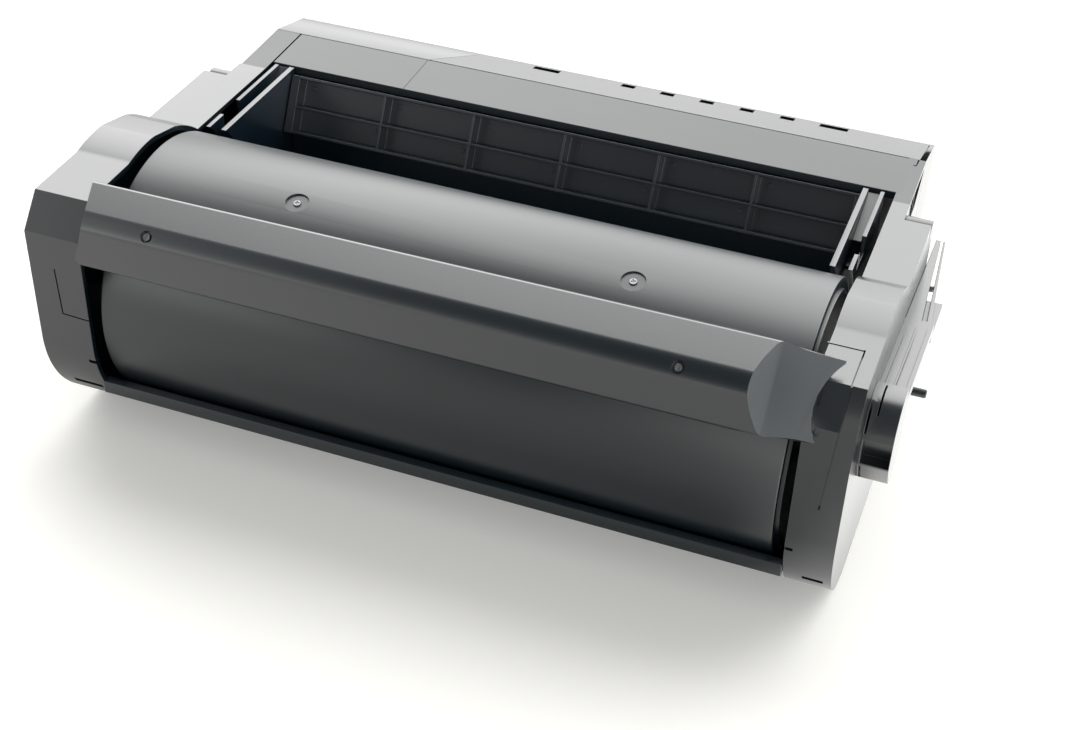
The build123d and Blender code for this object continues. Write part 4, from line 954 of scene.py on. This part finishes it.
# Guide rail: a nose block with a recess, a sloping double channel, and a ledge that runs on to the back
rail = {
    "innerX": 164.0,
    "outerX": 175.8,
    "outline": (
        (-88.4, 96.8), (-84.5, 99.9), (-79.0, 101.3), (-72.0, 100.0), (-72.0, 95.0), (-6.0, 86.0),
        (-6.0, 81.0), (10.0, 79.0), (22.0, 77.5), (22.0, 72.5), (2.0, 75.0), (-6.0, 76.0),
        (-10.0, 81.5), (-66.0, 89.0), (-66.0, 64.0), (-72.0, 62.0), (-84.0, 62.3), (-92.0, 75.5),
        (-92.6, 88.0), (-91.2, 92.8),
    ),
    "noseRound": 3.0,
    "noseCuts": (
        ((0.8, -100.0, 76.3), (11.5, -86.5, 87.6)),
        ((0.5, -96.0, 90.0), (1.3, -84.0, 104.0)),
        ((0.6, -96.0, 64.0), (1.4, -84.0, 74.5)),
        ((3.6, -88.5, 90.0), (4.2, -74.0, 105.0)),
    ),
    "channels": ((165.9, 169.3), (170.1, 173.9)),
    "channelY": (-69.0, -34.0, -9.0),
    "channelDepth": 1.7,
    "bumpY": -66.5,
    "bump": (1.5, 2.2),
    "ledge": ((164.0, -5.8), (170.6, -5.8), (166.2, 76.0), (164.0, 76.0)),
    "fence": ((172.6, -5.8), (174.4, -5.8), (168.2, 76.0), (167.2, 76.0)),
    "ledgeDrop": 0.3,
    "ledgeDepth": 3.0,
    "tie": ((164.0, 30.0, 76.6), (170.2, 31.4, 79.2)),
}


def railTop(y):
    return 95.0 - 9.0 * (y + 72.0) / 66.0


def makeGuideRail():
    inner, deep = rail["innerX"], rail["channelDepth"]
    bm = barAlong(rail["outline"], inner, rail["outerX"])
    lowEdges = []
    for edge in bm.edges:
        start, end = edge.verts[0].co, edge.verts[1].co
        runsAcross = abs(start.x - end.x) > 5
        if runsAcross and start.z < 80 and start.y < -60 and edge.calc_face_angle(0.0) > math.radians(30):
            lowEdges.append(edge)
    bmesh.ops.bevel(bm, geom=lowEdges, offset=rail["noseRound"], segments=6, affect="EDGES", profile=0.5,
                    material=-1)
    front, middle, back = rail["channelY"]
    section = [(front, railTop(front) - deep), (middle, railTop(middle) - deep), (back, railTop(back) + 0.2),
               (back, railTop(back) + 3), (front, railTop(front) + 3)]
    cuts = [barAlong(section, low, high) for low, high in rail["channels"]]
    for low, high in rail["noseCuts"]:
        cuts.append(block((inner + low[0], *low[1:]), (inner + high[0], *high[1:])))
    bm = carve(bm, cuts)
    bumpY = rail["bumpY"]
    radius, height = rail["bump"]
    bumps = [rod(((low + high) / 2, bumpY, railTop(bumpY) - deep), (0, 0, 1), radius, height, 32)
             for low, high in rail["channels"]]
    bm = joined(bm, *bumps)
    finishPiece("guideRail", bm, coverPlastic, ["guide_rail"], soft=0.25, sharp=28)


def makeRailLedge():
    # The ledge and the fence beside it narrow towards the back, and a tie holds them together
    shells = []
    for plan in (rail["ledge"], rail["fence"]):
        corners = [(x, y, railTop(y) - rail["ledgeDrop"]) for x, y in plan]
        shells.append(prism(corners, (0, 0, -rail["ledgeDepth"])))
    shells.append(block(*rail["tie"]))
    finishPiece("railLedge", joined(*shells), coverPlastic, soft=0.3)


makeGuideRail()
makeRailLedge()
print("guide rail made")


def cadShape(node):
    # The CAD node's own shape, with its loose triangles merged into flat faces
    bm = bmesh.new()
    bm.from_mesh(nodes[node].data)
    bmesh.ops.scale(bm, vec=(1000, 1000, 1000), verts=bm.verts)
    bmesh.ops.remove_doubles(bm, verts=bm.verts, dist=0.002)
    bmesh.ops.dissolve_limit(bm, angle_limit=math.radians(0.5), verts=bm.verts, edges=bm.edges)
    return bm


def refined(name, node, soft):
    slot = slotOfNode[node]
    return finishPiece(name, cadShape(node), finishOfSlot[slot], [node], soft=soft)


def carvedCopy(name, node, cuts, material):
    bm = carve(softened(cadShape(node), strip["soft"], 28), cuts)
    finishPiece(name, bm, material, [node], soft=0, sharp=40)


# The tray's upward faces, such as the top of its lip, get the frames' darker plastic as painted shade
tray = refined("lowerTray", "lower_tray", 0.4)
dressFaces(tray, darkPlastic, lambda face: face.normal[2] > 0.7)
refined("leftSideFrame", "left_side_frame", 0.3)
refined("rightSideFrame", "right_side_frame", 0.3)
print("tray and side frames refined")

# Top strip and rear cover with their fine seams
strip = {
    "soft": 0.35,
    "seamX": -84.0,
    "seamLean": 16.0,
    "rightSeamX": (150.0, 150.4),
    "front": (55.0, 105.81),
    "back": (84.2, 107.1),
    "slope": (109.1, 101.7),
    "topUp": (0, -0.05, 1),
    "slopeUp": (0, 0.21, 0.98),
}


def makeRearCovers():
    x, up = strip["seamX"], strip["slopeUp"]
    frontY, frontZ = strip["front"]
    backY, backZ = strip["back"]
    topSeam = seam((x, frontY - 1, frontZ), (x, backY + 1, backZ), 0.3, 0.25, strip["topUp"])
    carvedCopy("topStrip", "rear_top_cover", [topSeam], stripPlastic)
    seams = [seam((x, backY, backZ), (x + strip["seamLean"], *strip["slope"]), 0.35, 0.3, up)]
    start, end = strip["rightSeamX"]
    seams.append(seam((start, backY, backZ), (end, *strip["slope"]), 0.5, 0.6, up))
    carvedCopy("rearCover", "rear_cover", seams, coverPlastic)


makeRearCovers()
print("rear covers made")

# Studio: a bright sky behind and above, a dark patch where the photographer stands, and white paper
studio = {
    "floorSize": 6.0,
    "paperSeen": (0.90, 0.891, 0.864),
    "paperWhite": 0.22,
    "paperLight": (0.32, 0.3152, 0.304),
    "paperDark": (0.3136, 0.3088, 0.2976),
    "paperGlow": (1, 0.998, 0.975),
    "behind": (-0.8, 0.9, 0),
    "behindGlow": (0.0, 0.6, -0.3, 0.5),
    "beside": (1.0, 0.35, 0),
    "besideGlow": (0.0, 1.7, 0.08, 0.18),
    "roomTint": (1.0, 1.0, 0.985),
    "lampReach": 0.60,
    "glowTowards": (-0.02, 0.760, 0.648),
    "glow": ((0.34, 0.0), (0.574, 0.02), (0.695, 0.06), (0.743, 0.16), (0.800, 0.50), (0.848, 0.74),
             (0.914, 0.92), (1.0, 1.0)),
    "glowLevel": 3.15,
    "darkTowards": (0.0, -0.469, 0.883),
    "room": ((0.0, 1.0), (0.34, 1.0), (0.50, 0.85), (0.62, 0.5), (0.766, 0.18), (0.883, 0.08), (0.96, 0.05)),
    "roomLevel": 0.78,
    "across": ((-0.7, 1.0), (-0.55, 0.85), (-0.4, 0.72), (-0.30, 0.60), (-0.17, 0.10), (-0.03, 0.08),
               (0.1, 0.6), (0.5, 1.0)),
    "windows": ((-0.8, 0.9), (-0.58, 0.65), (-0.48, 0.25), (-0.36, 0.06), (-0.03, 0.0), (0.08, 0.45),
                (0.3, 0.75), (0.7, 0.9)),
    "windowLevel": 1.0,
    "windowsAhead": (1.0, 0.1, -0.35, 0.15),
}


def newStep(tree, kind, operation):
    step = tree.nodes.new("ShaderNode" + kind)
    step.operation = operation
    return step


def agreement(tree, direction, towards):
    # The dot product with a fixed direction
    facing = newStep(tree, "VectorMath", "DOT_PRODUCT")
    facing.inputs[1].default_value = towards
    tree.links.new(direction, facing.inputs[0])
    return facing.outputs["Value"]


def whiteForEyes(tree, plain, bright):
    # The camera, and glass in front of it, see the bright shader; everything else sees the plain one
    seen = tree.nodes.new("ShaderNodeLightPath")
    either = newStep(tree, "Math", "MAXIMUM")
    wire(tree, seen, "Is Camera Ray", either, 0)
    wire(tree, seen, "Is Transmission Ray", either, 1)
    pick = tree.nodes.new("ShaderNodeMixShader")
    wire(tree, either, "Value", pick, "Fac")
    tree.links.new(plain, pick.inputs[1])
    tree.links.new(bright, pick.inputs[2])
    return pick.outputs["Shader"]


def paperGlow(tree, place, seen):
    # The camera sees the paper glow a little, and reflections see it bright behind the object and beside it
    behind = spread(tree, agreement(tree, place, studio["behind"]), *studio["behindGlow"])
    beside = spread(tree, agreement(tree, place, studio["beside"]), *studio["besideGlow"])
    either = newStep(tree, "Math", "MAXIMUM")
    tree.links.new(behind, either.inputs[0])
    tree.links.new(beside, either.inputs[1])
    shine = newStep(tree, "Math", "MULTIPLY")
    wire(tree, either, "Value", shine, 0)
    wire(tree, seen, "Is Glossy Ray", shine, 1)
    total = newStep(tree, "Math", "MULTIPLY_ADD")
    total.inputs[1].default_value = studio["paperWhite"]
    wire(tree, seen, "Is Camera Ray", total, 0)
    wire(tree, shine, "Value", total, 2)
    glow = tree.nodes.new("ShaderNodeEmission")
    glow.inputs["Color"].default_value = (*studio["paperGlow"], 1)
    wire(tree, total, "Value", glow, "Strength")
    return glow


def floorPaper():
    finish, tree, surface = newFinish("floorPaper")
    place = tree.nodes.new("ShaderNodeTexCoord").outputs["Object"]
    fibre = noise(tree, place, 300.0, 3.0)
    tint = mixColour(tree, fibre, studio["paperLight"], studio["paperDark"])
    seen = tree.nodes.new("ShaderNodeLightPath")
    shown = tree.nodes.new("ShaderNodeMix")
    shown.data_type = "RGBA"
    wire(tree, seen, "Is Camera Ray", shown, 0)
    tree.links.new(tint, shown.inputs[6])
    shown.inputs[7].default_value = (*studio["paperSeen"], 1)
    wire(tree, shown, 2, surface, "Base Color")
    surface.inputs["Roughness"].default_value = 0.9
    surface.inputs["Specular IOR Level"].default_value = 0.1
    lit = tree.nodes.new("ShaderNodeAddShader")
    wire(tree, surface, "BSDF", lit, 0)
    wire(tree, paperGlow(tree, place, seen), "Emission", lit, 1)
    wire(tree, lit, "Shader", tree.nodes["Material Output"], "Surface")
    return finish


def makeFloor():
    bm = bmesh.new()
    bmesh.ops.create_grid(bm, x_segments=1, y_segments=1, size=studio["floorSize"])
    floor = holding(bm, "floor")
    floor.data.materials.append(floorPaper())


def greyRamp(tree, amount, stops, level):
    # Brightness from a value that runs from 0 to 1
    shade = tree.nodes.new("ShaderNodeValToRGB")
    ramp = shade.color_ramp.elements
    for _ in stops[2:]:
        ramp.new(0.5)
    for stop, (position, grey) in zip(ramp, stops):
        stop.position = position
        stop.color = (grey, grey, grey, 1)
    tree.links.new(amount, shade.inputs["Fac"])
    scaled = newStep(tree, "Math", "MULTIPLY")
    scaled.inputs[1].default_value = level
    wire(tree, shade, "Color", scaled, 0)
    return scaled


def levelTowards(tree, direction, towards, stops, level):
    # Brightness by how closely a direction agrees with another one
    return greyRamp(tree, agreement(tree, direction, Vector(towards).normalized()), stops, level)


def levelAcross(tree, sideways, stops, level):
    # Brightness by how far to the left or right a direction points
    half = spread(tree, sideways, 0.0, 1.0, -1.0, 1.0)
    return greyRamp(tree, half, [((position + 1) / 2, grey) for position, grey in stops], level)


def squeezedDirection(tree, direction):
    # The lamps are long from left to right, so directions are squeezed that way first
    squeezed = newStep(tree, "VectorMath", "MULTIPLY")
    squeezed.inputs[1].default_value = (studio["lampReach"], 1, 1)
    tree.links.new(direction, squeezed.inputs[0])
    even = newStep(tree, "VectorMath", "NORMALIZE")
    wire(tree, squeezed, "Vector", even, 0)
    return even.outputs["Vector"]


def makeRoom():
    world = bpy.data.worlds.new("room")
    scene.world = world
    world.use_nodes = True
    tree = world.node_tree
    direction = tree.nodes.new("ShaderNodeTexCoord").outputs["Generated"]
    band = squeezedDirection(tree, direction)
    glow = levelTowards(tree, band, studio["glowTowards"], studio["glow"], studio["glowLevel"])
    room = levelTowards(tree, band, studio["darkTowards"], studio["room"], studio["roomLevel"])
    sideways = tree.nodes.new("ShaderNodeSeparateXYZ")
    tree.links.new(direction, sideways.inputs["Vector"])
    sides = levelAcross(tree, sideways.outputs["X"], studio["across"], 1.0)
    windows = levelAcross(tree, sideways.outputs["X"], studio["windows"], studio["windowLevel"])
    ahead = newStep(tree, "Math", "MULTIPLY")
    wire(tree, windows, "Value", ahead, 0)
    tree.links.new(spread(tree, sideways.outputs["Y"], *studio["windowsAhead"]), ahead.inputs[1])
    brighter = newStep(tree, "Math", "MULTIPLY_ADD")
    wire(tree, room, "Value", brighter, 0)
    wire(tree, sides, "Value", brighter, 1)
    wire(tree, ahead, "Value", brighter, 2)
    total = newStep(tree, "Math", "ADD")
    wire(tree, glow, "Value", total, 0)
    wire(tree, brighter, "Value", total, 1)
    plain = tree.nodes["Background"]
    plain.inputs["Color"].default_value = (*studio["roomTint"], 1)
    wire(tree, total, "Value", plain, "Strength")
    white = tree.nodes.new("ShaderNodeBackground")
    white.inputs["Color"].default_value = (1, 1, 1, 1)
    shown = whiteForEyes(tree, plain.outputs["Background"], white.outputs["Background"])
    tree.links.new(shown, tree.nodes["World Output"].inputs["Surface"])


makeFloor()
makeRoom()
scene.view_settings.view_transform = "Standard"
print("studio lit")
